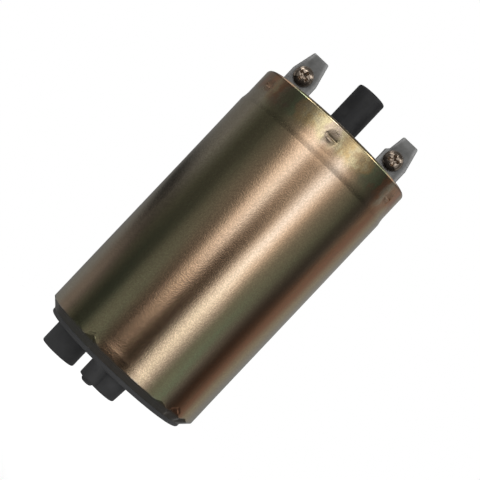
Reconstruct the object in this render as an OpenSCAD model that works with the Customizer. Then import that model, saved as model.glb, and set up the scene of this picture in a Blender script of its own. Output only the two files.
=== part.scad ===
// In-tank electric fuel pump: a plated steel can crimped over a moulded inlet
// end plate and a moulded outlet cover, with a turbine pump, a two-pole motor
// with a flat-faced commutator, a check valve and a relief valve inside.
// Z is the pump's axis, pointing at the outlet. Zero is the outer face of the
// inlet end plate. X passes through both electrical terminals and -Y is the
// side that the screw heads face. All lengths are in millimetres.

/* [Can] */
// Outside diameter of the can
can_od = 38; // [34:0.5:46]
// Length of the can from its lower lip to its upper rim
can_len = 64.8; // [54:0.1:80]
// Wall of the can along the magnets
can_wall = 1.4; // [1.2:0.05:1.8]
// Wall of the can where both ends are turned thin for crimping
end_wall = 0.8; // [0.6:0.05:0.95]
// Outside radius of the bend at the lower lip
lip_r = 1.6; // [1.2:0.05:1.9]
// Outside radius of the bend at the upper rim
rim_r = 0.8; // [0.8:0.05:1.3]
// How much smaller the collar's radius is than the can's
collar_step = 0.25; // [0.1:0.05:0.35]
// Length of the collar below the rim
collar_len = 6.6; // [6:0.1:9]
// Length of the taper between the collar and the can
collar_taper = 1.1; // [0.5:0.1:2]

/* [Staking] */
// Number of stakes that lock the outlet cover
stake_count = 6; // [3:1:8]
// Distance of the stakes below the rim
stake_drop = 2.7; // [2.4:0.1:4]
// Radius of the staking punch
stake_r = 2.6; // [2:0.1:4]
// Depth of a stake
stake_depth = 0.5; // [0.3:0.05:0.6]
// Distance of a stake's sheared lower edge below the punch's middle
stake_low = 0.7; // [0.4:0.05:1.2]
// Number of crimp nicks round the lower lip
nick_count = 5; // [3:1:8]
// Angle of the first nick from the X axis
nick_angle = 248; // [200:1:300]
// Half width of a nick where it is widest
nick_half = 1.9; // [1.2:0.1:2.6]
// Depth of a nick into the lip's bend
nick_depth = 0.4; // [0.2:0.05:0.5]

/* [Inlet end plate] */
// How far the end plate stands out of the can
plate_proud = 0.95; // [0.8:0.05:2]
// Whole thickness of the end plate up to the pumping chamber
plate_t = 6.3; // [5.8:0.1:9]
// Rounding of the end plate's outer edge
plate_edge = 0.4; // [0.2:0.1:0.9]
// Outside diameter of the inlet neck
inlet_od = 8.2; // [7:0.1:10]
// Bore of the inlet neck
inlet_bore = 5.4; // [4:0.1:6]
// Length of the inlet neck
inlet_len = 5.5; // [4:0.1:8]
// Distance from the inlet neck to the plate's edge
inlet_edge = 2.5; // [1:0.05:3]
// Angle of the inlet neck about the axis
inlet_angle = 190.3; // [185:0.1:195]
// Outside diameter of the relief valve's neck
relief_od = 7.7; // [6.4:0.1:9]
// Length of the relief valve's neck
relief_len = 4.0; // [3.8:0.05:7]
// Distance from the relief neck to the plate's edge
relief_edge = 1.5; // [0.8:0.05:2.5]
// How much narrower the relief neck is at its end
relief_draft = 0.5; // [0:0.05:0.7]
// Angle of the relief neck about the axis
relief_angle = 273.3; // [266:0.1:280]
// Diameter of the peg that turns the strainer the right way
peg_od = 4.4; // [3:0.1:5]
// Diameter of the peg's tip
peg_tip = 2.8; // [2:0.1:3]
// Length of the peg with its tip
peg_len = 4.5; // [3.5:0.1:6]
// Length of the peg up to its shoulder
peg_shoulder = 3.7; // [2.5:0.1:4]
// Round at the roots of the necks
root_round = 0.4; // [0.2:0.05:0.6]
// Angle of the peg about the axis
peg_angle = 261.5; // [255:0.5:264]

/* [Turbine] */
// Thickness of the impeller
impeller_t = 3; // [2.4:0.1:4]
// Number of vanes on each side of the impeller
vane_count = 36; // [20:1:44]
// Thickness of a vane at the middle of its length
vane_t = 0.5; // [0.4:0.05:0.8]
// Length of the vanes from their root to the rim
vane_len = 2.4; // [1.8:0.1:2.8]
// Rim of the impeller outside its vanes
impeller_rim = 0.6; // [0.4:0.1:1]
// Width of the flow channel beside the vanes
channel_w = 3; // [2.4:0.1:3.4]
// Wall of the pump body round the impeller
chamber_wall = 3.75; // [2.6:0.05:5]
// Roof of the pump body above its channel
body_roof = 1.7; // [1.2:0.1:3]
// Diameter of the port where fuel leaves the channel
discharge_d = 2.8; // [2:0.1:3]
// Height of the pump body's ring and hub above its seat in the can
ring_h = 3; // [2.4:0.1:3.6]
// Wall of that ring
ring_wall = 1.5; // [1.2:0.1:1.8]
// Thickness of the two sealing rings
seal_d = 1.2; // [1:0.05:1.4]

/* [Motor] */
// Diameter of the shaft
shaft_d = 3.2; // [2.6:0.1:4]
// Depth of the flat that drives the impeller
flat_depth = 0.4; // [0.3:0.05:0.6]
// Wall of both bearing bushes
bush_wall = 1.4; // [1:0.1:2]
// Length of both bearing bushes
bush_len = 5; // [4:0.1:6]
// Diameter of the thrust pad under the shaft
pad_d = 5.2; // [4.4:0.1:6]
// Thickness of the thrust pad
pad_t = 1; // [0.8:0.05:1.3]
// Depth of the thrust pad's face below the chamber
pad_depth = 2.1; // [1.7:0.05:2.5]
// Wall of the insulating sleeve round the shaft
sleeve_wall = 1.5; // [1.2:0.05:1.8]
// Thickness of the magnets
magnet_t = 4.5; // [3.5:0.1:5.4]
// Angle that each magnet spans
magnet_span = 140; // [115:1:150]
// How far the magnets reach past the core's upper end
magnet_over = 4; // [2:0.1:4.8]
// Gap between the magnets and the core
air_gap = 0.65; // [0.4:0.05:1]
// Thickness of the magnets' spring clips
clip_t = 0.5; // [0.3:0.05:0.8]
// Number of slots in the core, and of bars on the commutator
slot_count = 8; // [6:1:10]
// Width of a tooth of the core
tooth_w = 3; // [2:0.1:3.6]
// Thickness of the tooth tips
tip_t = 1; // [0.8:0.1:1.6]
// Width of a slot's mouth
mouth_w = 1.8; // [1.2:0.1:2.6]
// Radius of the core inside its slots
core_root = 5; // [4.4:0.1:6]
// Thickness of the insulators on the core's ends
insulator_t = 0.8; // [0.5:0.1:1.2]
// Height of the winding's end turns
turns_h = 4.7; // [3.8:0.1:5.8]
// Thickness of the commutator's carbon bars
bar_t = 2.5; // [1.8:0.1:3.2]
// Width of the slits between the bars
slit_w = 0.5; // [0.3:0.05:0.8]
// Thickness of the commutator's moulded hub
hub_t = 1.7; // [1.2:0.1:2.5]

/* [Brush gear] */
// How much smaller the commutator's radius is than the core's
comm_inset = 1.4; // [0.8:0.1:2]
// Edge of the commutator outside the brushes
comm_edge = 0.5; // [0.2:0.05:0.8]
// Size of a brush across the commutator
brush_w = 5; // [4:0.1:6]
// Size of a brush along the commutator
brush_t = 4; // [3.2:0.1:5]
// Length of a new brush
brush_len = 6.7; // [6:0.1:7.8]
// Wall of the brush guides
guide_wall = 1; // [0.7:0.1:1.4]
// How much of a brush shows below its guide
brush_show = 1.25; // [0.8:0.05:2]
// How far the guides reach below the cover's seat
guide_drop = 4.7; // [3.8:0.1:5.6]
// Wire of the brush springs
brush_wire = 0.4; // [0.3:0.05:0.5]
// Outside diameter of the brush springs
brush_spring_od = 3.5; // [2.8:0.1:3.9]
// Diameter of the stranded brush leads
lead_d = 0.7; // [0.5:0.1:1]

/* [Outlet cover] */
// Depth of the cover's top below the can's rim
cover_drop = 0.8; // [0.4:0.1:1.5]
// Height of the cover's flange inside the collar
flange_h = 4.2; // [3.6:0.1:5]
// Wall of the cover's skirt under its flange
skirt_wall = 2; // [1.7:0.05:2.4]
// Outside diameter of the outlet tube
outlet_od = 6.9; // [6.2:0.1:8]
// Bore of the outlet tube
outlet_bore = 4.4; // [3.8:0.1:5]
// Height of the outlet tube above the can's rim
outlet_len = 11.8; // [8.8:0.1:13]
// Distance of the outlet tube from the axis
outlet_y = 8; // [6.8:0.1:9.6]
// Rounding of the outlet tube's end
outlet_edge = 0.5; // [0.3:0.05:0.8]

/* [Terminals] */
// Width of the terminal blades at the foot
blade_w = 6.3; // [5.2:0.1:7.5]
// Width of the blades at the tip
blade_tip = 4; // [3.2:0.1:4.8]
// Thickness of the terminal plate
blade_t = 1.2; // [0.8:0.05:1.6]
// Height of the blades above the cover
blade_h = 9.7; // [7.6:0.1:11]
// Height at which the blades begin to narrow
blade_shoulder = 4.6; // [4:0.05:5.8]
// Step that marks the positive blade on its inner edge
blade_step = 0.65; // [0.3:0.05:0.8]
// Height of that step above the cover
step_z = 5.7; // [5.2:0.1:6.4]
// Round on the blades' top corners
blade_round = 0.35; // [0.1:0.05:0.6]
// Distance from the blades to the cover's edge
blade_edge = 1.65; // [0.8:0.05:2.5]
// How far the terminals' feet reach back over the cover
foot_len = 3.6; // [3:0.1:4.6]
// Thickness of the terminals' feet and legs
foot_t = 1; // [0.8:0.05:1.2]
// Width of the terminals' legs
leg_w = 2.4; // [2:0.1:2.8]
// How far the screws sit off the blades' middles, towards -X
screw_shift = 0.3; // [-0.5:0.1:0.5]
// Height of the screws above the cover
screw_z = 4.5; // [3.4:0.1:4.8]
// Diameter of the screws' thread
screw_d = 2.5; // [2:0.1:3]
// Diameter of the screws' heads
head_d = 4.3; // [3.8:0.1:5.4]
// Height of the screws' heads
head_h = 1.9; // [1.5:0.1:2.4]
// Length of the cross recess in a screw's head
recess_w = 2.5; // [2.1:0.1:2.9]
// Width of the recess's slots
recess_t = 0.6; // [0.4:0.05:0.8]
// Depth of the recess
recess_d = 1.1; // [0.8:0.05:1.3]
// How far the screws reach past the blades
screw_out = 1.6; // [1:0.1:2.5]

/* [Valves] */
// Diameter of the check valve's passage
check_hole = 2.6; // [2:0.1:3]
// Depth of the check valve's seat below the cover's top
check_depth = 2.1; // [2:0.1:2.7]
// Thickness of the check valve's head
valve_t = 1.4; // [1.1:0.05:1.7]
// Gap between the check valve's head and its bore
valve_gap = 0.3; // [0.2:0.05:0.4]
// Thickness of the check valve's guide ring
guide_ring = 1.2; // [0.8:0.1:2]
// Diameter of the check valve's stem
stem_d = 1.2; // [0.9:0.1:1.4]
// Wire of the check valve's spring
check_wire = 0.35; // [0.25:0.05:0.4]
// Diameter of the relief valve's ball
ball_d = 3; // [2.6:0.1:3.2]
// Bore that the relief ball moves in
relief_bore = 3.6; // [3.4:0.1:4]
// Diameter of the relief port
relief_port = 1.6; // [1.2:0.1:1.9]
// Length of the relief port below the channel
relief_port_len = 1.5; // [0.8:0.1:1.8]
// Thickness of the plug that holds the relief spring
plug_t = 1; // [0.7:0.1:1.3]
// Wire of the relief spring
relief_wire = 0.3; // [0.2:0.05:0.35]

/* [Clearances] */
// Gap between the end plate and the lip round it
plate_gap = 0.1; // [0.05:0.01:0.2]
// Radial gap of the moulded pieces inside the can
fit_gap = 0.1; // [0.05:0.01:0.2]
// Axial gap between crimped pieces
seat_gap = 0.05; // [0.02:0.01:0.1]
// Gap on each face of the impeller
impeller_gap = 0.1; // [0.05:0.01:0.2]
// Gap between the impeller's rim and the chamber
rim_gap = 0.15; // [0.1:0.01:0.3]
// Radial running gap of the shaft
run_gap = 0.02; // [0.01:0.005:0.04]
// Gap of the brushes in their guides
brush_gap = 0.06; // [0.03:0.01:0.1]
// Gap between winding and core
coil_gap = 0.15; // [0.1:0.01:0.25]
// Gap of a closed valve, and between brush and commutator
touch_gap = 0.05; // [0.02:0.01:0.08]
// Gap between the shaft's sleeve and the commutator's bars
sleeve_gap = 0.4; // [0.2:0.05:0.6]
// Free height left between turning and fixed pieces
free_gap = 0.5; // [0.3:0.05:0.8]

/* [Hidden] */
$fn = 64;
eps = 0.01;

// Radii of the can
can_r = can_od / 2;
in_r = can_r - can_wall;
skirt_in = can_r - end_wall;
collar_r = can_r - collar_step;
collar_in = collar_r - end_wall;
open_r = can_r - lip_r;

// Radii of the moulded ends
plate_r = open_r - plate_gap;
flange_r = skirt_in - fit_gap;
cover_flange_r = collar_in - fit_gap;
cover_r = collar_in - stake_depth - fit_gap - seat_gap;

// Heights, from the inlet side up
lip_z = plate_proud;
rim_z = lip_z + can_len;
shell_z = lip_z + end_wall + seat_gap;
channel_d = channel_w / 2;
recess_z = plate_t + impeller_t + 2 * impeller_gap;
shoulder_z = recess_z + channel_d + body_roof;
boss_z = shoulder_z + ring_h;
magnet_z = shoulder_z + ring_h;

// Heights, from the outlet side down
stake_z = rim_z - stake_drop;
stake_c = collar_r - stake_depth + stake_r;
bump_r = stake_r + end_wall;
cover_z = rim_z - cover_drop;
flange_z = stake_z - stake_low - seat_gap;
seat_z = flange_z - flange_h;
groove_z = seat_z + (flange_h - seal_d) / 2;
guide_z = seat_z - guide_drop;
comm_z = guide_z - brush_show - touch_gap;
bar_z = comm_z - bar_t;
hub_z = bar_z - hub_t;
turns_top = hub_z - free_gap / 2;
core_top = turns_top - turns_h - insulator_t;
core_low = boss_z + free_gap + turns_h + insulator_t;
turns_low = core_low - insulator_t - turns_h;

// Turbine
recess_r = flange_r - chamber_wall;
impeller_r = recess_r - rim_gap;
vane_r = impeller_r - impeller_rim - vane_len / 2;
inlet_c = plate_r - inlet_edge - inlet_od / 2;
relief_c = plate_r - relief_edge - relief_od / 2;
peg_c = plate_r - peg_od / 2 - 0.1;
channel_from = 200;
channel_sweep = 312;
discharge_angle = inlet_angle - channel_sweep;

// Motor
shaft_r = shaft_d / 2;
bush_r = shaft_r + bush_wall;
boss_r = bush_r + bush_wall;
magnet_r = in_r - seat_gap;
magnet_in = magnet_r - magnet_t;
magnet_top = core_top + magnet_over;
core_r = magnet_in - air_gap;
sleeve_r = shaft_r + sleeve_wall;
comm_r = core_r - comm_inset;
comm_in = sleeve_r + sleeve_gap;
brush_x = comm_r - comm_edge - brush_w / 2;
pad_r = pad_d / 2;
pad_z = plate_t - pad_depth;
shaft_z = pad_z + touch_gap;
upper_bush_z = seat_z - 1;
lower_bush_z = boss_z - bush_len - 0.2;
shaft_top = upper_bush_z + bush_len - 0.3;

// Brush gear and terminals
slot_top = cover_z - 1.2;
brush_z = comm_z + touch_gap;
brush_top = brush_z + brush_len;
blade_x = cover_r - blade_edge - blade_w / 2;
tongue = blade_x - brush_x + lead_d / 2 + 0.5;
leg_len = cover_z - flange_z + foot_t;

// Valves
check_z = cover_z - check_depth;
check_cone = (outlet_bore - check_hole) / 2;
outlet_top = rim_z + outlet_len;
valve_r = outlet_bore / 2 - valve_gap;
ring_top = outlet_top - outlet_edge - 0.2;
ring_low = ring_top - guide_ring;
relief_seat = plate_t - channel_d - relief_port_len;
relief_cone = (relief_bore - relief_port) / 2;
ball_z = relief_seat + relief_port / 2 - ball_d / 2 * sqrt(2) - touch_gap;
plug_low = 0.3 - relief_len;
relief_coil = ball_d * 0.4;
relief_spring_top = ball_z - sqrt(pow((ball_d + relief_wire) / 2 + touch_gap, 2)
    - pow(relief_coil, 2));

// Points of an arc about [x, y], from angle a to angle b
function arc(x, y, r, a, b, n = 8) =
    [for (i = [0 : n]) let (t = a + (b - a) * i / n) [x + r * cos(t), y + r * sin(t)]];

// Height along a spring with closed ends, for t from 0 to 1
function coil_rise(t, turns) = let (e = 0.75 / turns)
    t < e ? 0.06 * t / e : t > 1 - e ? 1 - 0.06 * (1 - t) / e
    : 0.06 + 0.88 * (t - e) / (1 - 2 * e);

// A round wire wound into a coil between two heights
module coil(od, wire, low, high, turns, per_turn = 14, sides = 6) {
    n = round(turns * per_turn);
    cr = od / 2 - wire / 2;
    h = high - low - wire;
    pts = [for (i = [0 : n], j = [0 : sides - 1])
        let (a = 360 * turns * i / n, b = 360 * j / sides, q = wire / 2 * cos(b))
        [(cr + q) * cos(a), (cr + q) * sin(a),
            low + wire / 2 + h * coil_rise(i / n, turns) + wire / 2 * sin(b)]];
    skin = [for (i = [0 : n - 1], j = [0 : sides - 1])
        let (k = (j + 1) % sides, p = i * sides, q = p + sides)
        each [[p + j, q + k, p + k], [p + j, q + j, q + k]]];
    lid0 = [for (j = [1 : sides - 2]) [0, j, j + 1]];
    lid1 = [for (j = [1 : sides - 2]) [n * sides, n * sides + j + 1, n * sides + j]];
    polyhedron(points = pts, faces = concat(skin, lid0, lid1), convexity = 10);
}

// Places a shape at a radius and an angle about the axis
module polar(r, a) rotate([0, 0, a]) translate([r, 0, 0]) children();

// Half-round flow channel with ball ends, cut about a flat face
module channel(z) {
    translate([0, 0, z]) {
        rotate([0, 0, discharge_angle])
            rotate_extrude(angle = channel_sweep) translate([vane_r, 0]) circle(channel_d);
        polar(vane_r, inlet_angle) sphere(channel_d);
        polar(vane_r, discharge_angle) sphere(channel_d);
    }
}

// Shell of the can, bent in at both ends
module can_shell() {
    bend = max(0.05, lip_r - end_wall);
    roll = max(0.05, rim_r - end_wall);
    rotate_extrude() polygon(concat(
        arc(open_r, lip_z + lip_r, lip_r, 270, 360),
        [[can_r, rim_z - collar_len - collar_taper], [collar_r, rim_z - collar_len]],
        arc(collar_r - rim_r, rim_z - rim_r, rim_r, 0, 90),
        arc(collar_in - roll, rim_z - end_wall - roll, roll, 90, 0, 4),
        [[collar_in, seat_z], [in_r, seat_z], [in_r, shoulder_z], [skirt_in, shoulder_z]],
        arc(skirt_in - bend, lip_z + end_wall + bend, bend, 0, -90)));
}

// One nick of the crimping tool across the lip's bend, deepest at its middle
module nick(a) {
    s = lip_r / sqrt(2);
    rotate([0, 0, a]) translate([open_r + s, 0, lip_z + lip_r - s])
        rotate([0, 45, 0]) translate([-nick_depth, 0, 0])
            rotate([90, 0, 90]) linear_extrude(height = 3)
                polygon([[-nick_half, -lip_r / 2], [nick_half, -lip_r / 2],
                    [nick_half * 0.35, lip_r * 0.55], [-nick_half * 0.35, lip_r * 0.55]]);
}

// Balls of the staking punches, cut flat where they shear the wall
module stakes(r) {
    intersection() {
        for (i = [0 : stake_count - 1])
            polar(stake_c, -90 + 360 / stake_count * i) translate([0, 0, stake_z]) sphere(r);
        translate([0, 0, stake_z - stake_low]) cylinder(r = can_od, h = 4 * stake_r);
    }
}

module can() {
    color([0.72, 0.62, 0.36])
        difference() {
            union() {
                can_shell();
                intersection() {
                    stakes(bump_r);
                    cylinder(r = collar_in + eps, h = rim_z);
                }
            }
            stakes(stake_r);
            for (i = [0 : nick_count - 1]) nick(nick_angle + 360 / nick_count * i);
        }
}

// Round neck that hangs from a face at z = 0, with a rounded end, a draft and a root round
module neck(od, len, edge, draft = 0, root = 0) {
    rotate_extrude() polygon(concat([[0, 0.6], [0, -len]],
        arc((od - draft) / 2 - edge, edge - len, edge, 270, 360, 6),
        root > 0 ? arc(od / 2 + root, -root, root, 180, 90, 4) : [],
        [[od / 2 + root, 0.6]]));
}

module inlet_cover() {
    out = flange_r - plate_r;
    port_z = plate_t - channel_d + 0.4;
    color([0.13, 0.13, 0.13])
        difference() {
            union() {
                rotate_extrude() polygon(concat([[0, 0]],
                    arc(plate_r - plate_edge, plate_edge, plate_edge, 270, 360, 6),
                    [[plate_r, shell_z], [flange_r, shell_z + out], [flange_r, plate_t],
                        [0, plate_t]]));
                polar(inlet_c, inlet_angle)
                    neck(inlet_od, inlet_len, 0.4, root = root_round);
                polar(relief_c, relief_angle)
                    neck(relief_od, relief_len, 0.5, relief_draft, root_round);
                polar(peg_c, peg_angle) {
                    neck(peg_od, peg_shoulder, 0.35);
                    neck(peg_tip, peg_len, 0.8);
                }
            }
            channel(plate_t);
            // Inlet bore with a chamfered mouth, and its way up into the channel
            polar(inlet_c, inlet_angle) rotate_extrude()
                polygon([[0, -inlet_len - 1], [inlet_bore / 2 + 1.4, -inlet_len - 1],
                    [inlet_bore / 2, 0.4 - inlet_len], [inlet_bore / 2, port_z], [0, port_z]]);
            polar(vane_r, inlet_angle) translate([0, 0, port_z - 0.5])
                cylinder(r = channel_d - 0.2, h = channel_d);
            translate([0, 0, pad_z - pad_t]) cylinder(r = pad_r, h = plate_t);
            // Relief bore, its ball seat and its port
            polar(relief_c, relief_angle) rotate_extrude()
                polygon([[0, -relief_len - 1], [relief_bore / 2, -relief_len - 1],
                    [relief_bore / 2, relief_seat - relief_cone], [relief_port / 2, relief_seat],
                    [relief_port / 2, port_z], [0, port_z]]);
        }
}

module pump_body() {
    groove = seal_d + fit_gap;
    color([0.18, 0.18, 0.19])
        difference() {
            rotate_extrude() polygon([[0, recess_z], [recess_r, recess_z], [recess_r, plate_t],
                [flange_r - groove, plate_t], [flange_r - groove, plate_t + groove],
                [flange_r, plate_t + groove], [flange_r, shoulder_z],
                [in_r - fit_gap, shoulder_z], [in_r - fit_gap, magnet_z - 0.3],
                [in_r - fit_gap - 0.3, magnet_z], [in_r - ring_wall - fit_gap, magnet_z],
                [in_r - ring_wall - fit_gap, shoulder_z], [boss_r + 1, shoulder_z],
                [boss_r, shoulder_z + 1], [boss_r, boss_z - 0.4], [boss_r - 0.4, boss_z],
                [0, boss_z]]);
            channel(recess_z);
            translate([0, 0, recess_z - 1]) cylinder(r = shaft_r + 0.4, h = boss_z);
            translate([0, 0, lower_bush_z]) cylinder(r = bush_r, h = boss_z);
            polar(vane_r, discharge_angle) translate([0, 0, recess_z + 0.5])
                cylinder(d = discharge_d, h = boss_z);
        }
}

module pump_seal() {
    color([0.08, 0.08, 0.08])
        rotate_extrude() translate([skirt_in - seal_d / 2, plate_t + seal_d / 2])
            circle(seal_d / 2);
}

module impeller() {
    pocket = 360 / vane_count - vane_t / vane_r * 180 / PI;
    color([0.25, 0.24, 0.22])
        difference() {
            translate([0, 0, plate_t + impeller_gap]) cylinder(r = impeller_r, h = impeller_t);
            for (i = [0 : vane_count - 1], s = [0, 1])
                translate([0, 0, plate_t + impeller_gap + s * impeller_t])
                    rotate([0, 0, (i + s / 2) * 360 / vane_count]) rotate_extrude(angle = pocket)
                        translate([vane_r, 0]) circle(vane_len / 2);
            intersection() {
                translate([0, 0, plate_t]) cylinder(r = shaft_r + run_gap, h = impeller_t + 1);
                translate([-shaft_d, -shaft_d, plate_t])
                    cube([shaft_d + shaft_r - flat_depth + run_gap, 2 * shaft_d, 2 * impeller_t]);
            }
            // Holes that even out the pressure on both faces
            for (i = [0 : 3]) polar(vane_r / 2, 45 + 90 * i)
                translate([0, 0, plate_t]) cylinder(r = vane_r / 12, h = 2 * impeller_t);
        }
}

module thrust_pad() {
    color([0.55, 0.55, 0.5]) translate([0, 0, pad_z - pad_t]) cylinder(r = pad_r, h = pad_t);
}

// Sintered bush with chamfered mouths
module bush(z) {
    r = shaft_r + run_gap;
    c = 0.3;
    color([0.6, 0.5, 0.35]) translate([0, 0, z]) rotate_extrude()
        polygon([[r + c, 0], [bush_r - c, 0], [bush_r, c], [bush_r, bush_len - c],
            [bush_r - c, bush_len], [r + c, bush_len], [r, bush_len - c], [r, c]]);
}

module lower_bush() bush(lower_bush_z);
module upper_bush() bush(upper_bush_z);

// Arc magnet with rounded inner corners
module magnet(a) {
    color([0.3, 0.29, 0.3]) translate([0, 0, magnet_z])
        rotate([0, 0, a - magnet_span / 2]) rotate_extrude(angle = magnet_span)
            polygon([[magnet_in, 0.6], [magnet_in + 0.6, 0], [magnet_r, 0],
                [magnet_r, magnet_top - magnet_z], [magnet_in + 0.6, magnet_top - magnet_z],
                [magnet_in, magnet_top - magnet_z - 0.6]]);
}

module front_magnet() magnet(-90);
module rear_magnet() magnet(90);

// Spring clip that wedges the magnets apart: a back strip and two side strips
module magnet_clip(a) {
    half = (180 - magnet_span) / 2;
    x0 = magnet_in * cos(half) + 0.8;
    x1 = magnet_r * cos(half);
    y0 = x0 * tan(half) - seat_gap / cos(half);
    y1 = x1 * tan(half) - seat_gap / cos(half);
    color([0.7, 0.7, 0.72]) rotate([0, 0, a]) translate([0, 0, magnet_z])
        linear_extrude(height = magnet_top - magnet_z)
            polygon([[x0, -y0], [x1, -y1], [x1, y1], [x0, y0], [x0, y0 - clip_t],
                [x1 - clip_t, y1 - clip_t], [x1 - clip_t, clip_t - y1], [x0, clip_t - y0]]);
}

module left_magnet_clip() magnet_clip(180);
module right_magnet_clip() magnet_clip(0);

module shaft() {
    tip = 0.5;
    color([0.75, 0.76, 0.78])
        difference() {
            rotate_extrude() polygon(concat([[0, shaft_z]],
                arc(shaft_r - 1.2, shaft_z + 1.2, 1.2, 270, 360, 6),
                [[shaft_r, shaft_top - tip], [shaft_r - tip, shaft_top], [0, shaft_top]]));
            translate([shaft_r - flat_depth, -shaft_d, 0]) cube([shaft_d, 2 * shaft_d, recess_z]);
        }
}

// Outline of one core plate: a hub, its teeth and their tips
module core_outline(tips = true, grow = 0) {
    circle(core_root + grow);
    for (i = [0 : slot_count - 1]) rotate(360 / slot_count * i)
        translate([0, -tooth_w / 2 - grow]) square([core_r - tip_t / 2, tooth_w + 2 * grow]);
    if (tips) difference() {
        circle(core_r);
        circle(core_r - tip_t);
        for (i = [0 : slot_count - 1]) rotate(360 / slot_count * (i + 0.5))
            translate([0, -mouth_w / 2]) square([core_r + 1, mouth_w]);
    }
}

module armature_core() {
    color([0.45, 0.45, 0.47]) translate([0, 0, core_low])
        linear_extrude(height = core_top - core_low) difference() {
            core_outline();
            circle(shaft_r);
        }
}

// Moulded insulator on one end of the core, with a sleeve round the shaft
module insulator(z, sleeve) {
    color([0.75, 0.72, 0.62]) difference() {
        union() {
            translate([0, 0, z]) linear_extrude(height = insulator_t) core_outline(false);
            if (sleeve > 0) translate([0, 0, z - sleeve]) cylinder(r = sleeve_r, h = sleeve + eps);
        }
        translate([0, 0, z - 2 * turns_h]) cylinder(r = shaft_r, h = 4 * turns_h);
    }
}

module lower_insulator() insulator(core_low - insulator_t, turns_h);
module upper_insulator() insulator(core_top, 0);

// Rounded ring of end turns
module end_turns(z) {
    a = sleeve_r + coil_gap;
    b = core_r - tip_t - coil_gap;
    e = 1.4;
    translate([0, 0, z]) rotate_extrude() polygon(concat(
        arc(a + 0.8, 0.8, 0.8, 180, 270, 4), arc(b - e, e, e, 270, 360, 5),
        arc(b - e, turns_h - e, e, 0, 90, 5), arc(a + 0.8, turns_h - 0.8, 0.8, 90, 180, 4)));
}

module armature_winding() {
    color([0.66, 0.36, 0.2]) {
        union() {
            end_turns(turns_low);
            end_turns(core_top + insulator_t);
            translate([0, 0, core_low - insulator_t - eps])
                linear_extrude(height = core_top - core_low + 2 * insulator_t + 2 * eps)
                    difference() {
                        circle(core_r - tip_t - coil_gap);
                        core_outline(false, coil_gap);
                    }
        }
    }
}

module commutator_hub() {
    color([0.2, 0.17, 0.14]) rotate_extrude()
        polygon([[shaft_r, core_top + insulator_t], [sleeve_r, core_top + insulator_t],
            [sleeve_r, hub_z], [comm_r - 0.3, hub_z], [comm_r, hub_z + 0.3], [comm_r, bar_z],
            [comm_in - 0.1, bar_z], [comm_in - 0.1, comm_z - 0.5], [shaft_r, comm_z - 0.5]]);
}

module commutator_bars() {
    color([0.2, 0.2, 0.21]) difference() {
        translate([0, 0, bar_z]) rotate_extrude()
            polygon([[comm_in, 0], [comm_r, 0], [comm_r, bar_t - 0.2], [comm_r - 0.2, bar_t],
                [comm_in, bar_t]]);
        for (i = [0 : slot_count - 1]) rotate([0, 0, 360 / slot_count * (i + 0.5)])
            translate([0, -slit_w / 2, bar_z - 1]) cube([comm_r + 1, slit_w, bar_t + 2]);
    }
}

// Revolved shell of the outlet cover with its groove for the seal
module cover_shell() {
    g = seal_d + fit_gap;
    rotate_extrude() polygon([[0, flange_z], [cover_flange_r - skirt_wall, flange_z],
        [cover_flange_r - skirt_wall, seat_z], [cover_flange_r, seat_z],
        [cover_flange_r, groove_z], [collar_in - g, groove_z],
        [collar_in - g, groove_z + g + fit_gap], [cover_flange_r, groove_z + g + fit_gap],
        [cover_flange_r, flange_z], [cover_r, flange_z], [cover_r, cover_z - 0.4],
        [cover_r - 0.4, cover_z], [0, cover_z]]);
}

module outlet_cover() {
    slot_w = brush_w + 2 * brush_gap;
    slot_t = brush_t + 2 * brush_gap;
    color([0.12, 0.12, 0.12])
        difference() {
            union() {
                cover_shell();
                translate([0, outlet_y, cover_z - eps]) rotate_extrude()
                    polygon(concat([[0, 0], [outlet_od / 2, 0]],
                        arc(outlet_od / 2 - outlet_edge, outlet_top - cover_z - outlet_edge,
                            outlet_edge, 0, 90), [[0, outlet_top - cover_z]]));
                translate([0, 0, upper_bush_z]) rotate_extrude()
                    polygon([[0, 0], [boss_r - 0.4, 0], [boss_r, 0.4],
                        [boss_r, flange_z - upper_bush_z + eps], [0, flange_z - upper_bush_z + eps]]);
                for (s = [-1, 1]) translate([s * brush_x, 0, (guide_z + flange_z) / 2])
                    cube([slot_w + 2 * guide_wall, slot_t + 2 * guide_wall,
                        flange_z - guide_z + 2 * eps], center = true);
                for (a = [45, 135, 225, 315]) rotate([0, 0, a])
                    translate([boss_r - 0.5, -0.6, flange_z - 1.8])
                        cube([cover_flange_r - skirt_wall - boss_r + 1, 1.2, 1.8 + eps]);
            }
            // Bearing pocket
            translate([0, 0, upper_bush_z - 1]) cylinder(r = bush_r, h = bush_len + 1.4);
            // Brush slots, spring pockets and lead holes
            for (s = [-1, 1]) translate([s * brush_x, 0, 0]) {
                translate([-slot_w / 2, -slot_t / 2, guide_z - 1])
                    cube([slot_w, slot_t, slot_top - guide_z + 1]);
                cylinder(d = lead_d + 0.8, h = cover_z + 1);
            }
            // Slots for the terminals' legs
            for (s = [-1, 1]) translate([s * blade_x - leg_w / 2 - seat_gap, foot_len - seat_gap, seat_z])
                translate([0, -foot_t, 0])
                    cube([leg_w + 2 * seat_gap, foot_t + 2 * seat_gap, cover_z]);
            // Outlet passage, valve seat and tube bore
            translate([0, outlet_y, 0]) rotate_extrude()
                polygon([[0, seat_z], [check_hole / 2, seat_z], [check_hole / 2, check_z],
                    [outlet_bore / 2, check_z + check_cone], [outlet_bore / 2, outlet_top + 1],
                    [0, outlet_top + 1]]);
        }
}

module cover_seal() {
    color([0.25, 0.12, 0.08])
        rotate_extrude() translate([collar_in - seal_d / 2, groove_z + fit_gap + seal_d / 2])
            circle(seal_d / 2);
}

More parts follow.
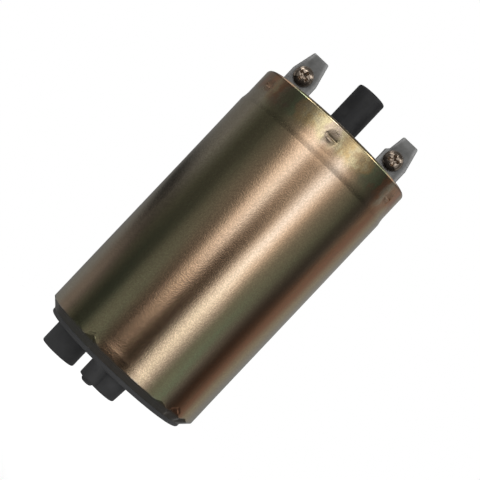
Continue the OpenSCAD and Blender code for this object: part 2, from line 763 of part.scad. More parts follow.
// Stamped terminal: an upright blade, a foot on the cover and a leg through it
module terminal(side) {
    w = blade_w / 2;
    c = blade_round;
    t = blade_tip / 2 - c;
    color([0.45, 0.46, 0.48]) translate([side * blade_x, 0, cover_z])
        mirror([side < 0 ? 1 : 0, 0, 0]) difference() {
            union() {
                translate([0, blade_t / 2, 0]) rotate([90, 0, 0])
                    linear_extrude(height = blade_t)
                        polygon(concat([[-w, 0], [w, 0], [w, blade_shoulder]],
                            arc(t, blade_h - c, c, 0, 90, 4),
                            arc(-t, blade_h - c, c, 90, 180, 4),
                            side > 0 ? [[blade_step - w, step_z + 0.3], [-w, step_z - 0.3]]
                            : [[-w, blade_shoulder]]));
                translate([-tongue, -blade_t / 2, 0])
                    cube([tongue + w, foot_len + blade_t / 2, foot_t]);
                translate([-leg_w / 2, foot_len - foot_t, -leg_len])
                    cube([leg_w, foot_t, leg_len + eps]);
            }
            translate([-side * screw_shift, 0, screw_z]) rotate([90, 0, 0])
                cylinder(d = screw_d, h = blade_t + 2, center = true);
        }
}

module positive_terminal() terminal(1);
module negative_terminal() terminal(-1);

// Pan-head screw with a cross recess, its head on the -Y side
module terminal_screw(side) {
    r = head_d / 2;
    e = head_h * 0.62;
    color([0.42, 0.33, 0.24])
        translate([side * blade_x - screw_shift, -blade_t / 2, cover_z + screw_z])
            rotate([90, 0, 0]) difference() {
                rotate_extrude() polygon(concat(
                    [[0, -blade_t - screw_out], [screw_d / 2 - 0.4, -blade_t - screw_out],
                        [screw_d / 2, 0.4 - blade_t - screw_out], [screw_d / 2, 0], [r, 0]],
                    arc(r - e, head_h - e, e, 0, 80, 6), [[0, head_h + 0.08]]));
                rotate([0, 0, 20 * side]) translate([0, 0, head_h]) {
                    cube([recess_t, recess_w, 2 * recess_d], center = true);
                    cube([recess_w, recess_t, 2 * recess_d], center = true);
                }
            }
}

module positive_screw() terminal_screw(1);
module negative_screw() terminal_screw(-1);

module brush(side) {
    c = 0.4;
    color([0.22, 0.22, 0.23]) translate([side * brush_x, 0, brush_z])
        difference() {
            translate([-brush_w / 2, -brush_t / 2, 0]) cube([brush_w, brush_t, brush_len]);
            for (s = [-1, 1]) translate([s * brush_w / 2, 0, brush_len]) rotate([0, 45, 0])
                cube([c, brush_t + 1, c], center = true);
        }
}

module positive_brush() brush(1);
module negative_brush() brush(-1);

module brush_spring(side) {
    color([0.62, 0.63, 0.65]) translate([side * brush_x, 0, 0])
        coil(brush_spring_od, brush_wire, brush_top, slot_top, 5);
}

module positive_brush_spring() brush_spring(1);
module negative_brush_spring() brush_spring(-1);

module brush_lead(side) {
    color([0.7, 0.4, 0.25]) translate([side * brush_x, 0, brush_top])
        cylinder(d = lead_d, h = cover_z - brush_top, $fn = 24);
}

module positive_brush_lead() brush_lead(1);
module negative_brush_lead() brush_lead(-1);

module check_valve() {
    r0 = check_hole / 2 - 0.1;
    color([0.75, 0.62, 0.35]) translate([0, outlet_y, check_z]) rotate_extrude()
        polygon([[0, -0.6], [r0 - 0.4, -0.6], [r0, 0], [valve_r, valve_r - r0],
            [valve_r, valve_t], [stem_d / 2, valve_t], [stem_d / 2, ring_top - check_z - 0.4],
            [stem_d / 2 - 0.2, ring_top - check_z - 0.2], [0, ring_top - check_z - 0.2]]);
}

module check_spring() {
    color([0.7, 0.7, 0.72]) translate([0, outlet_y, 0])
        coil(outlet_bore - 1.2, check_wire, check_z + valve_t, ring_low, 7);
}

module check_retainer() {
    color([0.15, 0.15, 0.15]) translate([0, outlet_y, ring_low]) difference() {
        cylinder(d = outlet_bore, h = guide_ring);
        translate([0, 0, -1]) cylinder(d = stem_d + 0.2, h = guide_ring + 2);
        for (i = [0 : 2]) polar((outlet_bore + stem_d) / 4 + 0.1, 90 + 120 * i)
            translate([0, 0, -1]) cylinder(r = 0.45, h = guide_ring + 2);
    }
}

module relief_ball() {
    color([0.8, 0.8, 0.82]) polar(relief_c, relief_angle) translate([0, 0, ball_z])
        sphere(d = ball_d);
}

module relief_spring() {
    color([0.7, 0.7, 0.72]) polar(relief_c, relief_angle)
        coil(2 * relief_coil + relief_wire, relief_wire, plug_low + plug_t,
            relief_spring_top + relief_wire / 2, 4);
}

module relief_plug() {
    color([0.7, 0.62, 0.4]) polar(relief_c, relief_angle) translate([0, 0, plug_low])
        difference() {
            cylinder(d = relief_bore, h = plug_t);
            translate([0, 0, -1]) cylinder(r = 0.7, h = plug_t + 2);
        }
}

can();
inlet_cover();
pump_body();
pump_seal();
impeller();
thrust_pad();
lower_bush();
front_magnet();
rear_magnet();
left_magnet_clip();
right_magnet_clip();
shaft();
armature_core();
lower_insulator();
upper_insulator();
armature_winding();
commutator_hub();
commutator_bars();
outlet_cover();
cover_seal();
upper_bush();
positive_terminal();
negative_terminal();
positive_screw();
negative_screw();
positive_brush();
negative_brush();
positive_brush_spring();
negative_brush_spring();
positive_brush_lead();
negative_brush_lead();
check_valve();
check_spring();
check_retainer();
relief_ball();
relief_spring();
relief_plug();
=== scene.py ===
"""Looks of an in-tank electric fuel pump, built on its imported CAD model.

The plated can is a fine mesh with its stakes, crimp nicks and drawn wall, and
the moulded ends, terminals and screws get broken edges, threads and recesses.
Every finish is a node material in object space. All sizes in this file are in
millimetres until a mesh is made; the scene itself is in metres.
"""

import logging
import math
from collections.abc import Callable, Sequence
from dataclasses import dataclass
from enum import Enum

import bmesh
import bpy
from mathutils import Matrix, Vector


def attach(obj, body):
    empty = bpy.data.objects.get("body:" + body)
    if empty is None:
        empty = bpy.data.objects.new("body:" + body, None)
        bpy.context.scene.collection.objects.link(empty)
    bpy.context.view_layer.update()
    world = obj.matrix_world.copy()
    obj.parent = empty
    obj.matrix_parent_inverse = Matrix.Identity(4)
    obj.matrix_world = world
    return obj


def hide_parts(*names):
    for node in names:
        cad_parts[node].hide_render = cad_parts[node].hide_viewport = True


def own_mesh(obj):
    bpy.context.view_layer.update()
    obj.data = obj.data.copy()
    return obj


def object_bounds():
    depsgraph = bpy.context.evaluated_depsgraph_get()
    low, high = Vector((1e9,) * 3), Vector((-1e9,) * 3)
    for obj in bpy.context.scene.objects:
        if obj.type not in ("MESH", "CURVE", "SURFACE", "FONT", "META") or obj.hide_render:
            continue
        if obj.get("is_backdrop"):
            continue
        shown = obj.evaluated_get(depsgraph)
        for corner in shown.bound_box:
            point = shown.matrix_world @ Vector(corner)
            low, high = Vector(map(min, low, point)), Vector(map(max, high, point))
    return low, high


logging.basicConfig(level=logging.INFO, format="%(name)s: %(message)s")
log = logging.getLogger("fuel_pump")

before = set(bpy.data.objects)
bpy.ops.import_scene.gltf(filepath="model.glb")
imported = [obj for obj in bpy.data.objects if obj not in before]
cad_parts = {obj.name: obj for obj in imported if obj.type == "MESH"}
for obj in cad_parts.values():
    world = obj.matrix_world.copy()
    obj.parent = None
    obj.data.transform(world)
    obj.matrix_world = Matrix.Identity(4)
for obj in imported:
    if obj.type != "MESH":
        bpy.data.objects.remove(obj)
CAD_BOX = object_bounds()

MM = 0.001
Colour = tuple[float, float, float]
Point = tuple[float, float]
Push = Callable[[float, float, float], Point]


# ---- shader maths


class Val:
    """A shader socket that takes part in Python arithmetic."""

    def __init__(self, graph: "Graph", socket: bpy.types.NodeSocket) -> None:
        """Wraps an output socket.

        Args:
            graph: The graph that the socket's node belongs to.
            socket: The output socket.
        """
        self.graph = graph
        self.socket = socket

    def maths(self, operation: str, *others: "Val | float", first: bool = True) -> "Val":
        """Adds a Math node on this value.

        Args:
            operation: The Math node's operation.
            others: The other operands.
            first: Whether this value is the first operand.

        Returns:
            The node's result.
        """
        operands = [self, *others] if first else [*others, self]
        node = self.graph.add("ShaderNodeMath", {"operation": operation}, dict(enumerate(operands)))
        return Val(self.graph, node.outputs[0])

    def __add__(self, other: "Val | float") -> "Val":
        """Sum with another value."""
        return self.maths("ADD", other)

    __radd__ = __add__

    def __sub__(self, other: "Val | float") -> "Val":
        """This value less another."""
        return self.maths("SUBTRACT", other)

    def __rsub__(self, other: float) -> "Val":
        """A number less this value."""
        return self.maths("SUBTRACT", other, first=False)

    def __mul__(self, other: "Val | float") -> "Val":
        """Product with another value."""
        return self.maths("MULTIPLY", other)

    __rmul__ = __mul__

    def __truediv__(self, other: "Val | float") -> "Val":
        """This value over another."""
        return self.maths("DIVIDE", other)

    def __pow__(self, other: "Val | float") -> "Val":
        """This value raised to a power."""
        return self.maths("POWER", other)

    def __neg__(self) -> "Val":
        """This value with its sign turned."""
        return self.maths("MULTIPLY", -1.0)

    def clamped(self) -> "Val":
        """This value held between 0 and 1."""
        node = self.graph.add("ShaderNodeClamp", None, {"Value": self, "Min": 0.0, "Max": 1.0})
        return Val(self.graph, node.outputs[0])

    def size(self) -> "Val":
        """Absolute value."""
        return self.maths("ABSOLUTE")

    def sine(self) -> "Val":
        """Sine of the value in radians."""
        return self.maths("SINE")

    def ramp(self, low: float, high: float, start: float = 0.0, end: float = 1.0) -> "Val":
        """Smooth step from start, below low, to end, above high."""
        inputs = {"Value": self, "From Min": low, "From Max": high, "To Min": start, "To Max": end}
        settings = {"interpolation_type": "SMOOTHSTEP"}
        node = self.graph.add("ShaderNodeMapRange", settings, inputs)
        return Val(self.graph, node.outputs[0])

    def hill(self, centre: float, width: float) -> "Val":
        """A soft hill of height 1 about a centre, down to 0 at a width from it."""
        return (self - centre).size().ramp(0.0, width, 1.0, 0.0)


Input = Val | float | Sequence[float]


class Graph:
    """The node tree of one material or world, and the ways to add to it."""

    def __init__(self, tree: bpy.types.NodeTree) -> None:
        """Empties a node tree and takes it over."""
        self.tree = tree
        tree.nodes.clear()

    def add(
        self,
        kind: str,
        settings: dict[str, object] | None = None,
        inputs: dict[str | int, Input] | None = None,
    ) -> bpy.types.Node:
        """Adds a node: its settings first, then its sockets.

        Args:
            kind: The node's type.
            settings: Properties of the node; "stops" fills a colour ramp.
            inputs: Values or links by socket name or number.

        Returns:
            The new node.
        """
        node = self.tree.nodes.new(kind)
        for name, value in (settings or {}).items():
            if name == "stops":
                self._fill(node.color_ramp, value)
            else:
                setattr(node, name, value)
        for key, value in (inputs or {}).items():
            if isinstance(value, Val):
                self.tree.links.new(value.socket, node.inputs[key])
            else:
                node.inputs[key].default_value = value
        return node

    @staticmethod
    def _fill(ramp: bpy.types.ColorRamp, stops: Sequence[tuple[float, Colour]]) -> None:
        """Sets a colour ramp's stops, each a position and a colour."""
        while len(ramp.elements) < len(stops):
            ramp.elements.new(0.5)
        for element, (place, colour) in zip(ramp.elements, stops):
            element.position = place
            element.color = (*colour, 1.0)

    def place(self) -> Val:
        """Object coordinates, in metres in the pump's own frame."""
        return Val(self, self.add("ShaderNodeTexCoord").outputs["Object"])

    def axes(self, vector: Val) -> tuple[Val, Val, Val]:
        """Splits a vector into its three numbers."""
        node = self.add("ShaderNodeSeparateXYZ", None, {0: vector})
        return tuple(Val(self, out) for out in node.outputs)

    def turn(self) -> Val:
        """Angle round the pump in degrees, 0 at the front."""
        x, y, _ = self.axes(self.place())
        return x.maths("ARCTAN2", -y) * (180.0 / math.pi)

    def height(self) -> Val:
        """Height in the pump's own frame, in millimetres."""
        return self.axes(self.place())[2] * (1.0 / MM)

    def scaled(self, vector: Val, scale: tuple[float, float, float]) -> Val:
        """Multiplies a vector by three numbers."""
        node = self.add("ShaderNodeVectorMath", {"operation": "MULTIPLY"}, {0: vector, 1: scale})
        return Val(self, node.outputs[0])

    def joined(self, x: Input, y: Input, z: Input) -> Val:
        """Joins three numbers into a vector."""
        return Val(self, self.add("ShaderNodeCombineXYZ", None, {0: x, 1: y, 2: z}).outputs[0])

    def noise(self, vector: Val, scale: float, detail: float = 2.0, rough: float = 0.5) -> Val:
        """Smooth noise between about 0 and 1, with so many features per unit."""
        inputs = {"Vector": vector, "Scale": scale, "Detail": detail, "Roughness": rough}
        node = self.add("ShaderNodeTexNoise", None, inputs)
        return Val(self, node.outputs[0])

    def cells(self, vector: Val, scale: float) -> Val:
        """Distance to the nearest of scattered points."""
        node = self.add("ShaderNodeTexVoronoi", None, {"Vector": vector, "Scale": scale})
        return Val(self, node.outputs["Distance"])

    def tone(self, factor: Val, stops: Sequence[tuple[float, Colour]]) -> Val:
        """Turns a number into a colour along a ramp."""
        node = self.add("ShaderNodeValToRGB", {"stops": stops}, {0: factor})
        return Val(self, node.outputs[0])

    def turned(self, turn: Val, tints: Sequence[tuple[float, Colour]]) -> Val:
        """Lays colours round the pump, each at its angle in degrees."""
        return self.tone(turn / 360.0 + 0.5, [(a / 360.0 + 0.5, tint) for a, tint in tints])

    def mix(self, factor: Input, under: Val | Colour, over: Val | Colour, how: str = "MIX") -> Val:
        """Lays the colour over on the colour under, as far as the factor says."""
        ends = [c if isinstance(c, Val) else (*c, 1.0) for c in (under, over)]
        settings = {"data_type": "RGBA", "blend_type": how}
        node = self.add("ShaderNodeMix", settings, {0: factor, 6: ends[0], 7: ends[1]})
        return Val(self, node.outputs[2])

    def relief(self, height: Val, depth: float, under: Val | None = None) -> Val:
        """Turns a height of 0 to 1 into a bumped normal; the depth is in millimetres."""
        inputs: dict[str | int, Input] = {"Strength": 1.0, "Distance": depth * MM, "Height": height}
        if under is not None:
            inputs["Normal"] = under
        return Val(self, self.add("ShaderNodeBump", None, inputs).outputs[0])

    def surface(self, **inputs: Input) -> None:
        """Adds the surface shader and the output; _ is a space in a socket's name."""
        named = {key.replace("_", " "): value for key, value in inputs.items()}
        for key, value in named.items():
            if isinstance(value, tuple) and len(value) == 3:
                named[key] = (*value, 1.0)
        shader = self.add("ShaderNodeBsdfPrincipled", None, named)
        self.add("ShaderNodeOutputMaterial", None, {0: Val(self, shader.outputs[0])})


# ---- finishes


def new_material(name: str) -> tuple[bpy.types.Material, Graph]:
    """Makes a material with an empty node tree."""
    material = bpy.data.materials.new(name)
    material.use_nodes = True
    return material, Graph(material.node_tree)


@dataclass(frozen=True)
class Finish:
    """A named finish that makes its material once."""

    name: str

    def material(self) -> bpy.types.Material:
        """The finish's material, made when it is first asked for."""
        found = bpy.data.materials.get(self.name)
        if found is None:
            found, graph = new_material(self.name)
            self.fill(graph)
        return found

    def fill(self, g: Graph) -> None:
        """Builds the finish's nodes."""
        raise NotImplementedError

    def dress(self, piece: bpy.types.Object) -> None:
        """Gives the whole piece this finish."""
        material = self.material()
        slots = piece.data.materials
        if len(slots) == 0:
            slots.append(material)
        for i in range(len(slots)):
            slots[i] = material


GOLD: Colour = (0.80, 0.61, 0.42)
CREAM: Colour = (0.86, 0.69, 0.54)
HONEY: Colour = (0.86, 0.68, 0.46)
BROWN: Colour = (0.80, 0.52, 0.32)
STRAW: Colour = (0.80, 0.68, 0.40)
KHAKI: Colour = (0.60, 0.48, 0.29)
OLIVE: Colour = (0.46, 0.43, 0.25)
GREEN: Colour = (0.38, 0.43, 0.25)
UMBER: Colour = (0.44, 0.33, 0.23)
TAN: Colour = (0.80, 0.54, 0.34)
SAND: Colour = (0.86, 0.64, 0.46)
LEMON: Colour = (0.86, 0.74, 0.44)
BRONZE: Colour = (0.70, 0.50, 0.24)
RUST: Colour = (0.62, 0.31, 0.17)
WINE: Colour = (0.48, 0.235, 0.13)
STONE: Colour = (0.56, 0.50, 0.38)

Tints = tuple[tuple[float, Colour], ...]


@dataclass(frozen=True)
class ZincChromate(Finish):
    """Yellow-passivated zinc on drawn steel, with its film's shifting tints.

    Each tint is given with its angle round the can, from the front.
    """

    collar_z: float = 58.6
    pitch: float = 60.0
    print_z: float = 62.5
    print_half: float = 0.09
    grain: float = 0.26
    speckle: float = 0.36
    pit: Colour = (0.30, 0.21, 0.14)
    painted_rim_shade: Colour = (0.15, 0.11, 0.075)
    rubbed: Colour = (0.42, 0.41, 0.38)
    upper: Tints = (
        (-180, KHAKI), (-158, WINE), (-140, KHAKI), (-122, OLIVE), (-100, GOLD), (-78, STONE),
        (-58, STONE), (-44, OLIVE), (-32, OLIVE), (-24, KHAKI), (-15, TAN), (-5, SAND), (2, BROWN),
        (8, TAN), (15, CREAM), (22, TAN), (29, KHAKI), (37, OLIVE), (45, UMBER), (51, WINE),
        (58, WINE), (66, KHAKI), (74, STONE), (96, STRAW), (116, OLIVE), (134, WINE), (152, GOLD),
        (180, KHAKI),
    )
    lower: Tints = (
        (-180, OLIVE), (-160, GOLD), (-138, GREEN), (-112, KHAKI), (-90, STONE), (-70, STONE),
        (-60, UMBER), (-52, UMBER), (-44, OLIVE), (-37, GREEN), (-29, OLIVE), (-22, OLIVE),
        (-14, BROWN), (-4, BROWN), (4, BROWN), (10, GOLD), (16, HONEY), (22, GOLD), (27, OLIVE),
        (33, GREEN), (40, UMBER), (47, WINE), (57, WINE), (65, KHAKI), (74, STONE), (110, GREEN),
        (140, KHAKI), (180, OLIVE),
    )
    collar: Tints = (
        (-180, OLIVE), (-150, STRAW), (-120, WINE), (-95, STRAW), (-72, UMBER), (-65, RUST),
        (-58, RUST), (-52, KHAKI), (-46, WINE), (-41, UMBER), (-34, GREEN), (-28, GREEN),
        (-22, BRONZE), (-16, LEMON), (-8, LEMON), (0, CREAM), (6, LEMON), (12, BRONZE),
        (18, LEMON), (24, BRONZE), (30, GREEN), (38, GREEN), (43, RUST), (49, WINE), (56, STONE),
        (62, RUST), (70, WINE), (80, KHAKI), (110, OLIVE), (135, STRAW), (155, UMBER),
        (180, OLIVE),
    )

    def fill(self, g: Graph) -> None:
        """Builds the plating: tints by place, a sandy grain, drawn streaks and painted shade at the
        stakes and the rim.
        """
        p, turn, high = g.place(), g.turn(), g.height()
        drift = g.noise(g.scaled(p, (1.0, 1.0, 0.35)), 75.0, 3.0, 0.55)
        patch = g.noise(g.scaled(p, (1.0, 1.0, 0.22)), 210.0, 3.0, 0.6)
        cloud = g.noise(p, 420.0, 3.0, 0.6)
        # The film's tints wander, on the collar more than on the wall.
        side = turn + (drift - 0.5) * 14.0
        low = (high + (patch - 0.5) * 16.0).ramp(14.0, 46.0, 1.0, 0.0)
        colour = g.mix(low, g.turned(side, self.upper), g.turned(side, self.lower))
        blotched = side + (cloud - 0.5) * 26.0 + (patch - 0.5) * 24.0
        collar = (high + (patch - 0.5) * 7.0).ramp(self.collar_z + 0.8, self.collar_z + 3.4)
        colour = g.mix(collar, colour, g.turned(blotched, self.collar))
        colour = g.mix(patch.ramp(0.5, 0.8) * 0.25, colour, STRAW)
        colour = g.mix(collar * cloud.ramp(0.42, 0.66) * 0.45, colour, UMBER)
        sand = g.noise(p, 1.0 / (self.speckle * MM), 3.0, 0.7)
        colour = g.mix(sand.ramp(0.40, 0.62, 0.3, 0.0), colour, self.pit)
        # Painted shade darkens the stake prints, which are also scuffed, and the rim's top edge;
        # the flank is darker towards the bottom and rubbed grey, and all of these are rougher.
        place = (turn / self.pitch + 0.5).maths("FRACT").hill(0.5, self.print_half)
        # Painted shade, with some scuff, in each stake's print.
        stake_shade_and_scuff = place.ramp(0.0, 0.5) * high.hill(self.print_z, 1.9).ramp(0.0, 0.5)
        # The rim's top edge, where shade is painted.
        rim_edge_shade = high.ramp(self.print_z + 2.85, self.print_z + 3.15)
        scuff_and_shade = (stake_shade_and_scuff + rim_edge_shade + high.ramp(2.0, 2.9, 0.6, 0.0)).clamped()
        # Umber over the stake prints and the rim's edge as painted shade, and over the lower flank.
        colour = g.mix(scuff_and_shade * 0.35, colour, UMBER)
        # Painted shade: a dark brown line along the rim's top edge.
        colour = g.mix(rim_edge_shade * 0.7, colour, self.painted_rim_shade)
        flank = (high + (cloud - 0.5) * 0.8).ramp(2.2, 2.9, 0.85, 0.0)
        colour = g.mix(flank, colour, self.rubbed)
        fine = g.noise(p, 1.0 / (self.grain * MM), 2.0, 0.5)
        streak = g.noise(g.scaled(p, (1.0, 1.0, 0.04)), 900.0, 2.0, 0.6)
        rough = fine * 0.06 + patch * 0.05 + scuff_and_shade * 0.25 + 0.11
        normal = g.relief(streak, 0.002, g.relief(fine, 0.013))
        g.surface(Base_Color=colour, Metallic=1.0, Roughness=rough, Normal=normal)


@dataclass(frozen=True)
class Moulded(Finish):
    """Moulded engineering plastic with a fine spark-eroded skin."""

    colour: Colour = (0.019, 0.019, 0.02)
    pale: Colour = (0.034, 0.034, 0.035)
    rough: float = 0.5
    grain: float = 0.16
    painted_light_grey: Colour = (0.055, 0.055, 0.056)

    def fill(self, g: Graph) -> None:
        """Builds the plastic: clouded colour, skin grain, flow marks and painted light low down."""
        p = g.place()
        cloud = g.noise(p, 260.0, 4.0, 0.6)
        skin = g.noise(p, 1.0 / (self.grain * MM), 3.0, 0.6)
        flow = g.noise(g.scaled(p, (1.0, 1.0, 0.2)), 900.0, 2.0)
        colour = g.mix(cloud.ramp(0.35, 0.7), self.colour, self.pale)
        dust = g.cells(p, 700.0).ramp(0.02, 0.1, 1.0, 0.0) * 0.4
        colour = g.mix(dust, colour, self.pale)
        # Painted light: the plastic is lighter from the bottom up to 8 mm, most between 0.2 and 2
        # mm, where the inlet plate's side face is.
        high = g.height()
        low = high.ramp(2.0, 8.0, 1.0, 0.0) * high.ramp(-0.4, 0.2, 0.35, 0.65)
        colour = g.mix(low, colour, self.painted_light_grey)
        rough = cloud * 0.14 + skin * 0.1 + (self.rough - 0.1)
        normal = g.relief(flow, 0.006, g.relief(skin, 0.012))
        g.surface(Base_Color=colour, Roughness=rough, Normal=normal, Specular_IOR_Level=0.35)


@dataclass(frozen=True)
class Metal(Finish):
    """Bare or plated metal with rolled or drawn lines along one axis."""

    colour: Colour = (0.5, 0.5, 0.5)
    stain: Colour = (0.3, 0.29, 0.27)
    rough: float = 0.35
    along: tuple[float, float, float] = (1.0, 1.0, 0.05)
    line: float = 0.12
    depth: float = 0.004
    stained: float = 0.5

    def worked(self, g: Graph) -> tuple[Val, Val]:
        """Tarnish in patches, and the lines left by rolling or drawing."""
        p = g.place()
        lines = g.noise(g.scaled(p, self.along), 1.0 / (self.line * MM), 3.0, 0.6)
        return g.noise(p, 330.0, 4.0, 0.65), lines

    def fill(self, g: Graph) -> None:
        """Builds the metal: tarnish patches, drawn lines and a fine grain."""
        patch, lines = self.worked(g)
        fine = g.noise(g.place(), 5200.0, 2.0)
        colour = g.mix(patch.ramp(0.45, 0.75) * self.stained, self.colour, self.stain)
        colour = g.mix(lines.ramp(0.3, 0.8) * 0.25, colour, self.stain)
        rough = patch * 0.14 + lines * 0.1 + fine * 0.05 + (self.rough - 0.13)
        normal = g.relief(fine, 0.002, g.relief(lines, self.depth))
        g.surface(Base_Color=colour, Metallic=1.0, Roughness=rough, Normal=normal)


@dataclass(frozen=True)
class Burnished(Metal):
    """Stamped blade metal, rubbed bright along its border."""

    middle: float = 12.5
    base_half: float = 3.0
    tip_half: float = 1.9
    shoulder_z: float = 69.8
    tip_z: float = 74.65
    bright: Colour = (0.55, 0.55, 0.545)

    def fill(self, g: Graph) -> None:
        """Builds the metal with its border rubbed bright."""
        patch, lines = self.worked(g)
        off = (g.axes(g.place())[0].size() * (1.0 / MM) - self.middle).size()
        half = g.height().ramp(self.shoulder_z, self.tip_z, self.base_half, self.tip_half)
        worn = g.noise(g.place(), 900.0, 3.0, 0.6)
        rubbed = (half - off + (worn - 0.5) * 0.5).ramp(0.1, 0.85, 1.0, 0.0) * 0.75
        colour = g.mix(patch.ramp(0.4, 0.7) * self.stained, self.colour, self.stain)
        colour = g.mix(rubbed, colour, self.bright)
        colour = g.mix(lines.ramp(0.3, 0.8) * 0.25, colour, self.stain)
        rough = patch * 0.14 + lines * 0.1 + (self.rough - 0.1)
        normal = g.relief(lines, self.depth)
        g.surface(Base_Color=colour, Metallic=1.0, Roughness=rough, Normal=normal)


@dataclass(frozen=True)
class Rubber(Finish):
    """Matt sealing rubber with a dusty bloom."""

    colour: Colour = (0.02, 0.02, 0.021)

    def fill(self, g: Graph) -> None:
        """Builds the rubber: a bloom in patches over a fine pitted skin."""
        p = g.place()
        bloom = g.noise(p, 500.0, 4.0, 0.65)
        pits = g.cells(p, 2600.0)
        colour = g.mix(bloom.ramp(0.4, 0.75) * 0.5, self.colour, (0.06, 0.058, 0.055))
        g.surface(
            Base_Color=colour, Roughness=bloom * 0.2 + 0.55, Normal=g.relief(pits, 0.01),
            Specular_IOR_Level=0.4,
        )


@dataclass(frozen=True)
class Sintered(Finish):
    """Pressed powder: bronze bearings, ferrite or carbon, with open pores."""

    colour: Colour = (0.42, 0.27, 0.13)
    dark: Colour = (0.12, 0.08, 0.05)
    metallic: float = 0.8
    rough: float = 0.5
    pore: float = 0.14

    def fill(self, g: Graph) -> None:
        """Builds the pressed grains and the pores between them."""
        p = g.place()
        grains = g.cells(p, 1.0 / (self.pore * MM))
        cloud = g.noise(p, 700.0, 4.0, 0.7)
        pores = grains.ramp(0.08, 0.3, 1.0, 0.0) * cloud.ramp(0.4, 0.6)
        colour = g.mix(cloud.ramp(0.3, 0.75) * 0.4, self.colour, self.dark)
        colour = g.mix(pores * 0.7, colour, self.dark)
        g.surface(
            Base_Color=colour, Metallic=self.metallic, Roughness=cloud * 0.2 + (self.rough - 0.1),
            Normal=g.relief(grains, 0.02),
        )


@dataclass(frozen=True)
class Laminated(Finish):
    """Stamped core plates stacked along the pump's axis."""

    plate: float = 0.5

    def fill(self, g: Graph) -> None:
        """Builds the stack's lines, oil tint and punched grain."""
        p = g.place()
        wave = (g.axes(p)[2] * (2.0 * math.pi / (self.plate * MM))).sine()
        seam = wave.ramp(0.75, 1.0)
        patch = g.noise(p, 420.0, 4.0, 0.6)
        colour = g.mix(patch.ramp(0.35, 0.7), (0.30, 0.30, 0.31), (0.22, 0.205, 0.19))
        colour = g.mix(seam, colour, (0.05, 0.05, 0.05))
        g.surface(
            Base_Color=colour, Metallic=0.9, Roughness=patch * 0.2 + 0.34,
            Normal=g.relief(1.0 - seam, 0.05),
        )


@dataclass(frozen=True)
class CoilWire(Finish):
    """Enamelled copper turns laid side by side and dipped in varnish."""

    wire: float = 0.45

    def fill(self, g: Graph) -> None:
        """Builds the turns across the end bundles and the varnish on them."""
        p = g.place()
        x, y, z = g.axes(p)
        ring = (x * x + y * y) ** 0.5
        sway = g.noise(p, 190.0, 2.0) * 0.9
        per = 1.0 / (self.wire * MM)
        lay = (ring * per + z * (0.5 * per) + sway) * (2.0 * math.pi)
        turns = lay.sine().ramp(-1.0, 1.0)
        patch = g.noise(p, 300.0, 4.0, 0.6)
        colour = g.mix(turns, (0.16, 0.045, 0.02), (0.46, 0.155, 0.06))
        colour = g.mix(patch.ramp(0.55, 0.8) * 0.5, colour, (0.30, 0.12, 0.03))
        g.surface(
            Base_Color=colour, Metallic=0.7, Roughness=patch * 0.15 + 0.25,
            Normal=g.relief(turns, 0.12), Coat_Weight=0.4, Coat_Roughness=0.15,
        )


@dataclass(frozen=True)
class Stranded(Finish):
    """Fine bare copper strands twisted into a lead."""

    lay: float = 2.2
    lead_x: float = 8.0
    count: float = 7.0

    def fill(self, g: Graph) -> None:
        """Builds the twist as stripes that climb round the lead's own axis."""
        p = g.place()
        x, y, z = g.axes(p)
        turn = (x.size() - self.lead_x * MM).maths("ARCTAN2", y)
        climb = z * (2.0 * math.pi * self.count / (self.lay * MM))
        strands = (turn * self.count + climb).sine().ramp(-1.0, 1.0)
        patch = g.noise(p, 900.0, 3.0)
        colour = g.mix(strands, (0.20, 0.075, 0.04), (0.72, 0.33, 0.19))
        g.surface(
            Base_Color=colour, Metallic=1.0, Roughness=patch * 0.2 + 0.25,
            Normal=g.relief(strands, 0.05),
        )


class Slot(Enum):
    """The record's material slots."""

    ZINC = "zinc_plated_steel"
    BLACK = "black_plastic"
    GREY = "grey_plastic"
    IMPELLER = "impeller_plastic"
    CREAM = "cream_plastic"
    RUBBER = "seal_rubber"
    BRONZE = "sintered_bronze"
    FERRITE = "ferrite"
    SPRING = "spring_steel"
    GROUND = "ground_steel"
    CORE = "core_steel"
    COIL = "enamelled_copper"
    CARBON = "carbon"
    TERMINAL = "terminal_plate"
    SCREW = "screw_plate"
    COPPER = "bare_copper"
    BRASS = "brass_metal"


